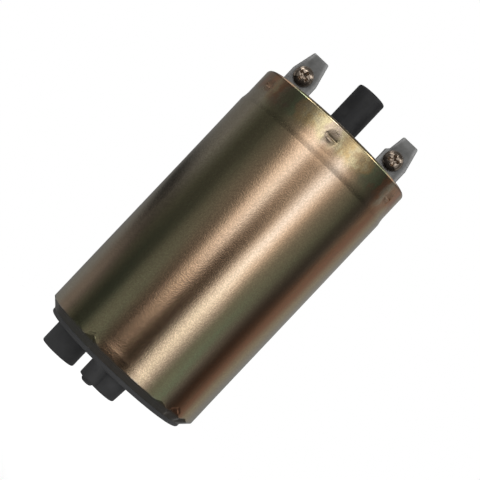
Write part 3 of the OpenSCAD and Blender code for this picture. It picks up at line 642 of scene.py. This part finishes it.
FINISHES: dict[Slot, Finish] = {
    Slot.ZINC: ZincChromate("zinc_chromate_plate"),
    Slot.BLACK: Moulded("black_moulding"),
    Slot.GREY: Moulded("grey_moulding", (0.045, 0.045, 0.048), (0.07, 0.07, 0.073), 0.46),
    Slot.IMPELLER: Moulded("phenolic_moulding", (0.05, 0.042, 0.033), (0.085, 0.07, 0.05), 0.42),
    Slot.CREAM: Moulded("cream_moulding", (0.55, 0.50, 0.37), (0.62, 0.57, 0.44), 0.48),
    Slot.RUBBER: Rubber("seal_rubber_skin"),
    Slot.BRONZE: Sintered("sintered_bronze_grain"),
    Slot.FERRITE: Sintered(
        "ferrite_grain", (0.075, 0.072, 0.075), (0.03, 0.03, 0.03), 0.15, 0.62, 0.1
    ),
    Slot.SPRING: Metal("spring_wire", (0.48, 0.47, 0.45), (0.22, 0.2, 0.18), 0.32),
    Slot.GROUND: Metal(
        "ground_shaft", (0.62, 0.62, 0.62), (0.4, 0.4, 0.4), 0.2, (0.2, 0.2, 1.0), 0.06, 0.002, 0.3
    ),
    Slot.CORE: Laminated("stacked_core_plates"),
    Slot.COIL: CoilWire("varnished_coil_wire"),
    Slot.CARBON: Sintered(
        "pressed_carbon", (0.04, 0.04, 0.042), (0.015, 0.015, 0.015), 0.3, 0.45, 0.12
    ),
    Slot.TERMINAL: Burnished(
        "terminal_tin", (0.27, 0.27, 0.265), (0.17, 0.168, 0.16), 0.42,
        (0.08, 1.0, 1.0), 0.16, 0.003, 0.6,
    ),
    Slot.SCREW: Metal(
        "screw_bronze_plate", (0.56, 0.46, 0.37), (0.085, 0.052, 0.032), 0.24,
        (1.0, 1.0, 1.0), 0.3, 0.006, 0.9,
    ),
    Slot.COPPER: Stranded("stranded_copper"),
    Slot.BRASS: Metal(
        "turned_brass", (0.72, 0.50, 0.21), (0.35, 0.2, 0.08), 0.26, (0.15, 0.15, 1.0), 0.08, 0.003
    ),
}


# ---- meshes


def arc(x: float, z: float, r: float, a: float, b: float, n: int = 8) -> list[Point]:
    """Points of an arc in a profile: its centre, radius, two angles in degrees and steps."""
    turns = [math.radians(a + (b - a) * i / n) for i in range(n + 1)]
    return [(x + r * math.cos(t), z + r * math.sin(t)) for t in turns]


def held(value: float) -> float:
    """A value kept between 0 and 1."""
    return min(1.0, max(0.0, value))


def eased_step(value: float, start: float, end: float) -> float:
    """Smooth step from 0 at start to 1 at end, in either direction."""
    t = held((value - start) / (end - start))
    return t * t * (3.0 - 2.0 * t)


def filled(points: Sequence[Point], step: float) -> list[Point]:
    """Adds points to a line so that none are further apart than a step."""
    line = [points[0]]
    for (x0, z0), (x1, z1) in zip(points, points[1:]):
        n = max(1, math.ceil(math.hypot(x1 - x0, z1 - z0) / step))
        line += [(x0 + (x1 - x0) * i / n, z0 + (z1 - z0) * i / n) for i in range(1, n + 1)]
    return line


def linked(name: str, data: bpy.types.ID) -> bpy.types.Object:
    """Makes an object of a mesh, lamp or camera and links it to the scene."""
    thing = bpy.data.objects.new(name, data)
    bpy.context.scene.collection.objects.link(thing)
    return thing


def meshed(name: str, mesh: bmesh.types.BMesh) -> bpy.types.Object:
    """Turns a finished bmesh, in metres, into a linked object."""
    data = bpy.data.meshes.new(name)
    mesh.to_mesh(data)
    mesh.free()
    return linked(name, data)


@dataclass
class Build:
    """Collects closed shells in millimetres and makes one object of them."""

    name: str

    def __post_init__(self) -> None:
        """Starts with an empty mesh."""
        self.mesh = bmesh.new()

    def lathe(
        self,
        profile: Sequence[Point],
        columns: int,
        push: Push | None = None,
        at: Matrix | None = None,
        ring: bool = False,
    ) -> None:
        """Adds a solid of revolution about Z.

        Args:
            profile: Radius and height along the outline.
            columns: Faces round the axis.
            push: Moves a point: angle, radius and height to radius and height.
            at: Places the solid.
            ring: Whether the outline closes on itself.
        """
        place = at or Matrix.Identity(4)
        rows = []
        for r, z in profile:
            if r < 1e-6:
                rows.append([self.mesh.verts.new(place @ Vector((0.0, 0.0, z)))])
                continue
            row = []
            for j in range(columns):
                a = 2.0 * math.pi * j / columns
                pr, pz = push(a, r, z) if push else (r, z)
                point = Vector((pr * math.cos(a), pr * math.sin(a), pz))
                row.append(self.mesh.verts.new(place @ point))
            rows.append(row)
        pairs = list(zip(rows, rows[1:])) + ([(rows[-1], rows[0])] if ring else [])
        for low, up in pairs:
            for j in range(columns):
                k = (j + 1) % columns
                corners = [low[j % len(low)], low[k % len(low)], up[k % len(up)], up[j % len(up)]]
                unique = list(dict.fromkeys(corners))
                if len(unique) > 2:
                    self.mesh.faces.new(unique)

    def done(self, smooth: float = 40.0) -> bpy.types.Object:
        """Makes the object; edges sharper than so many degrees stay sharp."""
        bmesh.ops.recalc_face_normals(self.mesh, faces=self.mesh.faces)
        bmesh.ops.scale(self.mesh, vec=(MM, MM, MM), verts=self.mesh.verts)
        piece = meshed(self.name, self.mesh)
        piece.data.shade_smooth()
        piece.data.set_sharp_from_angle(angle=math.radians(smooth))
        return piece


WELD = 0.002
FLAT = math.radians(0.6)
SHARP = math.radians(38.0)


def eased(node: str, name: str, width: float) -> bpy.types.Object:
    """Copies a CAD node with its edges broken by a small round.

    Args:
        node: The node to copy.
        name: Name of the new piece.
        width: Width of the round in millimetres.

    Returns:
        The new piece.
    """
    mesh = bmesh.new()
    mesh.from_mesh(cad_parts[node].data)
    bmesh.ops.remove_doubles(mesh, verts=mesh.verts, dist=WELD * MM)
    bmesh.ops.dissolve_limit(
        mesh, angle_limit=FLAT, use_dissolve_boundaries=False, verts=mesh.verts, edges=mesh.edges
    )
    piece = meshed(name, mesh)
    piece.data.shade_smooth()
    bevel = piece.modifiers.new("broken_edges", "BEVEL")
    bevel.width = width * MM
    bevel.segments = 3
    bevel.limit_method = "ANGLE"
    bevel.angle_limit = SHARP
    bevel.use_clamp_overlap = True
    bevel.miter_outer = "MITER_ARC"
    bevel.harden_normals = True
    return piece


def fitted(piece: bpy.types.Object, slot: Slot, body: str, *nodes: str) -> None:
    """Dresses a piece in its slot's finish, ties it to its body and hides the nodes it stands for.
    """
    FINISHES[slot].dress(piece)
    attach(piece, body)
    if nodes:
        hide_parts(*nodes)
    log.info("%s: %d faces, %s", piece.name, len(piece.data.polygons), slot.value)


# ---- can


@dataclass
class CanShell:
    """The drawn can, rolled in at both ends, staked and nicked."""

    radius: float = 19.0
    wall: float = 1.4
    end_wall: float = 0.8
    lip_z: float = 0.95
    rim_z: float = 65.75
    lip_r: float = 1.6
    rim_r: float = 0.8
    collar_r: float = 18.75
    collar_z: float = 59.15
    taper: float = 1.4
    seat_z: float = 58.1
    shoulder_z: float = 12.7
    stakes: int = 6
    stake_z: float = 62.9
    stake_depth: float = 0.16
    nicks: int = 5
    nick_from: float = 248.0
    nick_step: float = 4.7
    nick_rise: float = 1.0
    nick_spread: float = 6.0
    burr: float = 0.07
    burr_high: float = 0.75
    burr_half: float = 2.4
    ripple: float = 0.008
    columns: int = 640

    def outline(self) -> list[Point]:
        """The can's cross section, from the lip's inner edge round and back."""
        r, collar, foot, top = self.radius, self.collar_r, self.lip_z, self.rim_z
        bend = foot + self.lip_r
        wall_top = self.collar_z - self.taper
        collar_in = collar - self.end_wall
        roll = max(0.05, self.rim_r - self.end_wall)
        line = [(r - self.lip_r, foot + self.end_wall), (r - self.lip_r, foot)]
        # Close points on the flank, the bend and just above, where the crimps are cut.
        line += filled([(r - self.lip_r + 0.16, foot + 0.02), (r - 0.14, bend - 0.24)], 0.1)
        line += arc(r - 0.4, bend + 0.1, 0.4, -46.0, 0.0, 6)
        line += filled([line[-1], (r, bend + 1.8)], 0.12)[1:]
        line += filled([line[-1], (r, wall_top - 0.15)], 1.6)[1:]
        # The taper starts and ends softly.
        soft = ((0.006, 0.0), (0.03, 0.15), (0.08, 0.4), (0.135, 0.68))
        line += [(r - inward, wall_top + up) for inward, up in soft]
        line += [(collar + 0.06, wall_top + 1.0), (collar + 0.02, self.collar_z)]
        line += filled([(collar, self.collar_z + 0.25), (collar, self.stake_z - 1.3)], 0.5)
        line += filled([line[-1], (collar, top - self.rim_r)], 0.11)[1:]
        line += arc(collar - self.rim_r, top - self.rim_r, self.rim_r, 0.0, 90.0, 7)[1:]
        # Back down the inside.
        line += arc(collar_in - roll, top - self.end_wall - roll, roll, 90.0, 0.0, 3)
        line += filled([line[-1], (collar_in, self.stake_z - 1.4)], 0.35)[1:]
        line += [(collar_in, self.seat_z), (r - self.wall, self.seat_z)]
        line += filled([line[-1], (r - self.wall, self.shoulder_z)], 12.0)[1:]
        line += [(r - self.end_wall, self.shoulder_z), (r - self.end_wall, bend)]
        line += arc(r - self.lip_r, bend, self.lip_r - self.end_wall, 0.0, -90.0, 3)[1:-1]
        return line

    def stake(self, across: float, up: float) -> float:
        """Depth of a stake's print, by distance along the collar and height from its middle."""
        narrow = 1.35 - 0.6 * held((up + 0.3) / 1.9)
        tent = math.exp(-((across / narrow) ** 4))
        end = held(1.8 * (1.0 - (across / 1.45) ** 2))
        bar = -0.35 - 0.06 * (across / 1.4) ** 2
        smile = -1.2 + 0.75 * (across / 1.6) ** 2
        slope = held((1.6 - up) / 1.5)
        # A shallow dent, then a bar pressed deep with a raised edge, then a curved line.
        deep = 0.12 * tent * slope**2 * eased_step(up, -1.3, -0.3)
        deep += self.stake_depth * end * eased_step(up, 0.1, bar)
        deep -= (self.stake_depth + 0.06) * end * eased_step(up, bar, bar - 0.4)
        deep += 0.13 * end * eased_step(up, smile + 0.2, smile - 0.14)
        return deep * eased_step(up, -2.4, -1.45)

    def nick(self, across: float) -> float:
        """Height by which a crimp raised the bend, by distance from its middle."""
        off = abs((across + self.nick_step / 2.0) % self.nick_step - self.nick_step / 2.0)
        rise = max(0.0, 1.0 - off / (0.42 * self.nick_step))
        return self.nick_rise * rise * math.exp(-((across / self.nick_spread) ** 2))

    @staticmethod
    def nearest(angle: float, first: float, count: int) -> float:
        """Angle from the nearest of some evenly spaced marks, one of which is the first."""
        step = 2.0 * math.pi / count
        return (angle - first + step / 2.0) % step - step / 2.0

    def push(self, angle: float, r: float, z: float) -> Point:
        """Moves a point of the plain shell to where the tools left it."""
        bend_z = self.lip_z + self.lip_r
        wall_top = self.collar_z - self.taper
        skin = self.radius - self.end_wall - 0.9 + (z - bend_z) * 0.2
        if r > max(skin, self.radius - self.lip_r + 0.1) and z < bend_z + 1.7:
            off = self.radius * self.nearest(angle, math.radians(self.nick_from), self.nicks)
            rise = self.nick(off)
            foot = self.radius - self.lip_r + z - self.lip_z
            r = min(r, foot - rise * held((z - self.lip_z) / 1.3))
            over = (z - bend_z - rise) / self.burr_high
            if rise > 0.12 and 0.0 < over < 1.0 and abs(off) < self.burr_half:
                r -= self.burr * math.sin(math.pi * over) * min(1.0, (rise - 0.12) / 0.3)
            return r, z
        if self.stake_z - 3.5 < z < self.rim_z - 0.3:
            off = self.collar_r * self.nearest(angle, -math.pi / 2.0, self.stakes)
            fade = min(1.0, (self.rim_z - 0.3 - z) / 0.8)
            return r - self.stake(off, z - self.stake_z) * fade, z
        if r > self.radius - 0.3 and z < wall_top:
            wave = math.sin(3.0 * angle + 0.11 * z) + math.sin(5.0 * angle - 0.07 * z + 1.3)
            fade = min(1.0, (z - bend_z) / 6.0) * min(1.0, (wall_top - z) / 6.0)
            return r - self.ripple * (2.0 + wave) * max(0.0, fade), z
        return r, z

    def build(self) -> None:
        """Makes the can."""
        build = Build("plated_can")
        build.lathe(self.outline(), self.columns, self.push, ring=True)
        fitted(build.done(28.0), Slot.ZINC, "housing", "can")


# ---- moulded ends


@dataclass
class MouldedEnds:
    """The inlet end plate and the outlet cover: node, piece and broken edge of each."""

    pieces: tuple[tuple[str, str, float], ...] = (
        ("inlet_cover", "inlet_end_plate", 0.22),
        ("outlet_cover", "outlet_end_cover", 0.18),
    )

    def build(self) -> None:
        """Makes both mouldings."""
        for node, name, width in self.pieces:
            fitted(eased(node, name, width), Slot.BLACK, "housing", node)


# ---- terminals and screws


@dataclass
class Contacts:
    """Both stamped terminals with their screws."""

    blade_x: float = 12.5
    blade_t: float = 1.2
    cover_z: float = 64.95
    screw_z: float = 4.5
    screw_shift: float = -0.3
    head_d: float = 4.3
    head_h: float = 1.9
    shank_d: float = 2.5
    out: float = 1.6
    pitch: float = 0.45
    recess: float = 1.25
    slot_half: float = 0.32
    slot_deep: float = 0.75
    centre_deep: float = 0.35
    crown: float = 0.09
    thread_deep: float = 0.26
    turn: float = 20.0

    def sink(self, x: float, y: float) -> float:
        """Depth of the cross recess at a point of the head."""
        x, y = abs(x), abs(y)
        deep = 0.0
        for along, across in ((x, y), (y, x)):
            arm = held((self.recess - along) / 0.5) * held((self.slot_half - across) / 0.14)
            deep = max(deep, arm)
        middle = math.hypot(x, y)
        centre = max(0.0, 1.0 - middle / 0.95) if deep > 0.0 or middle < 0.55 else 0.0
        return self.slot_deep * deep + self.centre_deep * centre

    def head(self, side: int) -> tuple[list[Point], Push]:
        """Outline of a screw from tip to crown, and what cuts its recess and thread."""
        r = self.head_d / 2.0
        shank = self.shank_d / 2.0
        low = -self.blade_t - self.out
        top = self.head_h + self.crown
        e = self.head_h * 0.8
        line = [(0.0, low), (shank - 0.45, low), (shank, low + 0.35)]
        line += filled([line[-1], (shank, 0.0)], self.pitch / 6.0)[1:]
        line += [(r - 0.08, 0.0), (r, 0.08)]
        dome = arc(r - e, self.head_h - e, e, 0.0, 84.0, 9)
        line += dome[:-1] + filled([dome[-1], (0.02, top)], 0.07) + [(0.0, top)]
        spin = math.radians(self.turn * side)

        def push(angle: float, rad: float, z: float) -> Point:
            """Cuts the recess into the crown and the thread into the shank."""
            if z > self.head_h - 0.6:
                a = angle - spin
                return rad, z - self.sink(rad * math.cos(a), rad * math.sin(a)) * (rad < 1.6)
            if z < -0.02 and rad > shank - 0.1:
                phase = (z / self.pitch - angle / (2.0 * math.pi)) % 1.0
                return rad - self.thread_deep * (1.0 - abs(2.0 * phase - 1.0)) - 0.02, z
            return rad, z

        return line, push

    def build(self) -> None:
        """Makes the terminals and the screws."""
        for side, name in ((1, "positive"), (-1, "negative")):
            blade = eased(f"{name}_terminal", f"{name}_blade", 0.2)
            fitted(blade, Slot.TERMINAL, "housing", f"{name}_terminal")
            x = side * self.blade_x + self.screw_shift
            at = Matrix.Translation(Vector((x, -self.blade_t / 2.0, self.cover_z + self.screw_z)))
            at @= Matrix.Rotation(math.pi / 2.0, 4, "X")
            line, push = self.head(side)
            build = Build(f"{name}_pan_screw")
            build.lathe(line, 96, push, at)
            fitted(build.done(50.0), Slot.SCREW, "housing", f"{name}_screw")


# ---- internals


INNER: dict[Slot, tuple[str, ...]] = {
    Slot.GREY: ("pump_body",),
    Slot.BLACK: ("check_retainer",),
    Slot.IMPELLER: ("impeller", "commutator_hub"),
    Slot.CREAM: ("thrust_pad", "lower_insulator", "upper_insulator"),
    Slot.RUBBER: ("pump_seal", "cover_seal"),
    Slot.BRONZE: ("lower_bush", "upper_bush"),
    Slot.FERRITE: ("front_magnet", "rear_magnet"),
    Slot.SPRING: ("left_magnet_clip", "right_magnet_clip"),
    Slot.GROUND: ("shaft", "relief_ball"),
    Slot.CORE: ("armature_core",),
    Slot.COIL: ("armature_winding",),
    Slot.CARBON: ("commutator_bars", "positive_brush", "negative_brush"),
    Slot.BRASS: ("check_valve", "relief_plug"),
}


@dataclass(frozen=True)
class Sprung:
    """A spring or lead, given with its joint, the height of its fixed end and its travel."""

    node: str
    joint: str
    slot: Slot
    fixed_z: float
    travel: float

    def build(self) -> None:
        """Makes the piece as a copy of its node's mesh, with its own data."""
        piece = linked(f"{self.node}_wire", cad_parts[self.node].data.copy())
        piece.data.materials.clear()
        piece.data.shade_smooth()
        fitted(piece, self.slot, "housing", self.node)
        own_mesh(piece)


@dataclass
class Internals:
    """The pieces inside, which have the shapes of the CAD."""

    sprung: tuple[Sprung, ...] = (
        Sprung("check_spring", "check_valve_slide", Slot.SPRING, 75.65, 2.0),
        Sprung("relief_spring", "relief_ball_slide", Slot.SPRING, -2.7, 1.2),
        *(
            Sprung(f"{pole}_brush_{part}", f"{pole}_brush_slide", slot, z, 2.0)
            for part, slot, z in (("spring", Slot.SPRING, 63.75), ("lead", Slot.COPPER, 64.95))
            for pole in ("positive", "negative")
        ),
    )

    def build(self) -> None:
        """Makes the springs and leads, and gives every other inner node its finish."""
        for part in self.sprung:
            part.build()
        for slot, names in INNER.items():
            for name in names:
                FINISHES[slot].dress(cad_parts[name])


# ---- stage, camera


def disc(radius: float, z: float = 0.0, segments: int = 64) -> bmesh.types.BMesh:
    """A level round card's mesh."""
    mesh = bmesh.new()
    bmesh.ops.create_circle(mesh, cap_ends=True, radius=radius * MM, segments=segments)
    bmesh.ops.translate(mesh, verts=mesh.verts, vec=(0.0, 0.0, z * MM))
    return mesh


def ringed(turn: float, away: float, z: float) -> Vector:
    """A place in metres, by its angle from the front, its distance and its height."""
    a = math.radians(turn)
    return Vector((away * math.sin(a), -away * math.cos(a), z)) * MM


def staged(name: str, mesh: bmesh.types.BMesh, paint: Callable[[Graph], Val] | float) -> None:
    """Makes a card that only reflections see.

    Args:
        name: The card's name.
        mesh: Its shape, in metres.
        paint: Its brightness, or what builds its colour.
    """
    card = meshed(name, mesh)
    material, g = new_material(name)
    colour = paint(g) if callable(paint) else (paint, paint, paint, 1.0)
    glow = g.add("ShaderNodeEmission", None, {0: colour, 1: 1.0})
    g.add("ShaderNodeOutputMaterial", None, {0: Val(g, glow.outputs[0])})
    card.data.materials.append(material)
    card.visible_camera = False
    card.visible_diffuse = False
    card.visible_shadow = False
    card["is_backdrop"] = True


@dataclass(frozen=True)
class Wall:
    """A round wall of painted greys that only glossy surfaces reflect.

    Each stop holds an angle round the pump, from the front, and the wall's
    level there high up, at mid height and low down.
    """

    radius: float = 800.0
    foot: float = -900.0
    top: float = 560.0
    heights: tuple[float, float, float] = (135.0, 35.0, -49.0)
    stops: tuple[tuple[float, float, float, float], ...] = (
        (-180, 0.8, 0.8, 0.8), (-172, 0.2, 0.16, 0.16), (-126, 0.19, 0.22, 0.28),
        (-110, 0.24, 0.24, 0.34), (-98, 0.15, 0.15, 0.17), (-84, 0.09, 0.08, 0.05),
        (-70, 0.08, 0.075, 0.04), (-58, 0.13, 0.15, 0.22), (-46, 0.18, 0.18, 0.27),
        (-37, 0.26, 0.13, 0.15), (-30, 0.75, 0.08, 0.06), (-24, 1.1, 0.36, 0.03),
        (-17, 1.3, 1.15, 0.02), (-9, 1.3, 1.05, 0.005), (-4, 0.9, 0.28, 0.005),
        (2, 0.78, 0.06, 0.01), (10, 0.72, 0.06, 0.015), (16, 0.65, 0.25, 0.17),
        (21, 0.8, 1.05, 0.65), (29, 1.1, 1.6, 0.95), (36, 1, 1.2, 0.65), (43, 0.6, 0.48, 0.26),
        (52, 0.32, 0.25, 0.24), (62, 0.19, 0.23, 0.36), (72, 0.13, 0.2, 0.31),
        (82, 0.09, 0.1, 0.08), (91, 0.065, 0.055, 0.05), (101, 0.13, 0.13, 0.12),
        (111, 0.28, 0.32, 0.3), (128, 0.33, 0.35, 0.34), (168, 0.3, 0.29, 0.24),
        (180, 0.8, 0.8, 0.8),
    )

    def build(self) -> None:
        """Makes the wall as one curved strip."""
        mesh = bmesh.new()
        foot, top = (
            [mesh.verts.new(ringed(a, self.radius, z)) for a in range(-180, 180, 4)]
            for z in (self.foot, self.top)
        )
        for i in range(len(foot)):
            j = (i + 1) % len(foot)
            mesh.faces.new([foot[i], foot[j], top[j], top[i]])
        staged("card_wall", mesh, self.paint)

    def below(self, z: float, radius: float) -> None:
        """Lays the wall's low greys on the floor, for metal that looks down."""
        staged("card_floor", disc(radius, z), lambda g: self.greys(g, 2, 1.0))

    def greys(self, g: Graph, row: int, gain: float) -> Val:
        """The levels round the pump high up (row 0), at mid height (1) or low down (2)."""
        return g.turned(g.turn(), [(a, (rows[row] * gain,) * 3) for a, *rows in self.stops])

    def paint(self, g: Graph) -> Val:
        """Builds the wall's level from the angle and the height."""
        high = g.height()
        up, mid, down = self.heights
        top, middle, low = (self.greys(g, row, 0.5) for row in range(3))
        rise = ((high - mid) / (up - mid)).clamped() ** 2.0
        fall = ((mid - high) / (mid - down)).clamped()
        level = g.mix(fall, g.mix(rise, middle, top), low)
        # One slanted dark streak crosses the wall's left side.
        slant = (g.turn() + high * 0.6 + 102.0).hill(0.0, 38.0) * high.hill(30.0, 66.0)
        glow = high.ramp(200.0, 400.0, 2.0, 1.1) * slant.ramp(0.0, 0.7, 1.0, 0.03)
        return g.mix(1.0, level, g.joined(glow, glow, glow), "MULTIPLY")


@dataclass
class Studio:
    """Floor, world, lamps and the cards that the metal reflects."""

    floor_z: float = -34.0
    floor_r: float = 420.0
    ring: float = 800.0
    ambient: float = 0.62
    glint_half: float = 110.0
    glint_level: float = 3.5
    glint_aim: float = 65.0

    def world(self) -> None:
        """White to the camera and in reflections, a plain level for the rest."""
        world = bpy.data.worlds.new("studio_world")
        bpy.context.scene.world = world
        world.use_nodes = True
        g = Graph(world.node_tree)
        rays = g.add("ShaderNodeLightPath")
        seen = Val(g, rays.outputs["Is Camera Ray"]) + Val(g, rays.outputs["Is Glossy Ray"])
        seen = (seen + Val(g, rays.outputs["Is Transmission Ray"])).ramp(0.0, 1.0)
        plain, white = (
            Val(g, g.add("ShaderNodeBackground", None, {0: (1.0,) * 4, 1: level}).outputs[0])
            for level in (self.ambient, 1.0)
        )
        both = g.add("ShaderNodeMixShader", None, {0: seen, 1: plain, 2: white})
        g.add("ShaderNodeOutputWorld", None, {0: Val(g, both.outputs[0])})

    def floor(self) -> None:
        """A pale round floor that fades out before its edge."""
        floor = meshed("floor", disc(self.floor_r, segments=96))
        floor.location = (0.0, 0.0, self.floor_z * MM)
        material, g = new_material("pale_floor")
        x, y, _ = g.axes(g.place())
        away = (x * x + y * y) ** 0.5
        alpha = away.ramp(self.floor_r * 0.45 * MM, self.floor_r * 0.97 * MM, 1.0, 0.0)
        g.surface(
            Base_Color=(0.86, 0.86, 0.86), Roughness=0.9, Alpha=alpha,
            Emission_Color=(1.0, 1.0, 1.0), Emission_Strength=0.5,
        )
        floor.data.materials.append(material)
        floor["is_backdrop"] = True

    def lamp(self, name: str, turn: float, rise: float, level: float, size: Point) -> None:
        """Hangs a soft box at an angle and height, of a level where 1 is white, and a size."""
        data = bpy.data.lights.new(name, "AREA")
        data.shape = "RECTANGLE"
        data.size, data.size_y = size[0] * MM, size[1] * MM
        data.energy = level * math.pi * data.size * data.size_y
        lamp = linked(name, data)
        lamp.location = ringed(turn, self.ring * 0.94, rise)
        aim = Vector((0.0, 0.0, rise * MM)) - lamp.location
        lamp.rotation_euler = aim.to_track_quat("-Z", "Y").to_euler()
        lamp.visible_glossy = False

    def glint(self, side: str, turn: float, rise: float) -> None:
        """Hangs a small bright card high up, which only glossy edges catch."""
        mesh = bmesh.new()
        bmesh.ops.create_grid(mesh, x_segments=1, y_segments=1, size=self.glint_half * MM)
        place = ringed(turn, self.ring * 0.8, rise)
        aim = Vector((0.0, 0.0, self.glint_aim * MM)) - place
        facing = aim.to_track_quat("-Z", "Y").to_matrix().to_4x4()
        bmesh.ops.transform(mesh, matrix=Matrix.Translation(place) @ facing, verts=mesh.verts)
        staged(f"card_glint_{side}", mesh, self.glint_level)

    def build(self) -> None:
        """Sets up the whole studio."""
        self.world()
        self.floor()
        wall = Wall(self.ring)
        wall.build()
        wall.below(self.floor_z + 1.0, self.floor_r)
        self.lamp("soft_left", -12.0, 210.0, 0.95, (170.0, 430.0))
        self.lamp("soft_right", 30.5, 60.0, 1.15, (290.0, 900.0))
        staged("card_over", disc(self.ring, 900.0), 0.12)
        staged("card_under", disc(95.0, self.floor_z + 1.5), 0.07)
        self.glint("left", -68.0, 620.0)
        self.glint("right", 64.0, 620.0)
        self.glint("top", -16.0, 800.0)
        log.info("studio: a wall with %d stops", len(wall.stops))


@dataclass
class RolledCamera:
    """The photograph's camera: about level with the pump and rolled about its view."""

    aim_x: float = 0.655
    aim_z: float = 36.43
    z: float = 32.65
    away: float = 330.3
    roll: float = 43.37
    width: float = 97.73
    sensor: float = 36.0

    def build(self) -> None:
        """Places the camera and makes it the scene's own."""
        data = bpy.data.cameras.new("photo_camera")
        data.sensor_width = self.sensor
        data.sensor_fit = "HORIZONTAL"
        data.lens = self.sensor * self.away / self.width
        data.clip_start = 0.01
        camera = linked("photo_camera", data)
        place = Vector((self.aim_x, -self.away, self.z)) * MM
        view = Vector((self.aim_x, 0.0, self.aim_z)) * MM - place
        level = view.to_track_quat("-Z", "Y").to_matrix().to_4x4()
        camera.matrix_world = (
            Matrix.Translation(place) @ level @ Matrix.Rotation(math.radians(self.roll), 4, "Z")
        )
        bpy.context.scene.camera = camera
        log.info("camera: lens %.1f mm", data.lens)


def main() -> None:
    """Builds the pump's looks and its studio."""
    CanShell().build()
    MouldedEnds().build()
    Contacts().build()
    Internals().build()
    Studio().build()
    RolledCamera().build()
    bpy.context.scene.view_settings.view_transform = "Standard"
    bpy.context.view_layer.update()
    boxes = {"cad": [list(c) for c in CAD_BOX], "visual": [list(c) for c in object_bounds()]}
    log.info("size in mm: %s", [round((b - a) * 1000.0, 2) for a, b in zip(*boxes["visual"])])


if __name__ == "__main__":
    main()
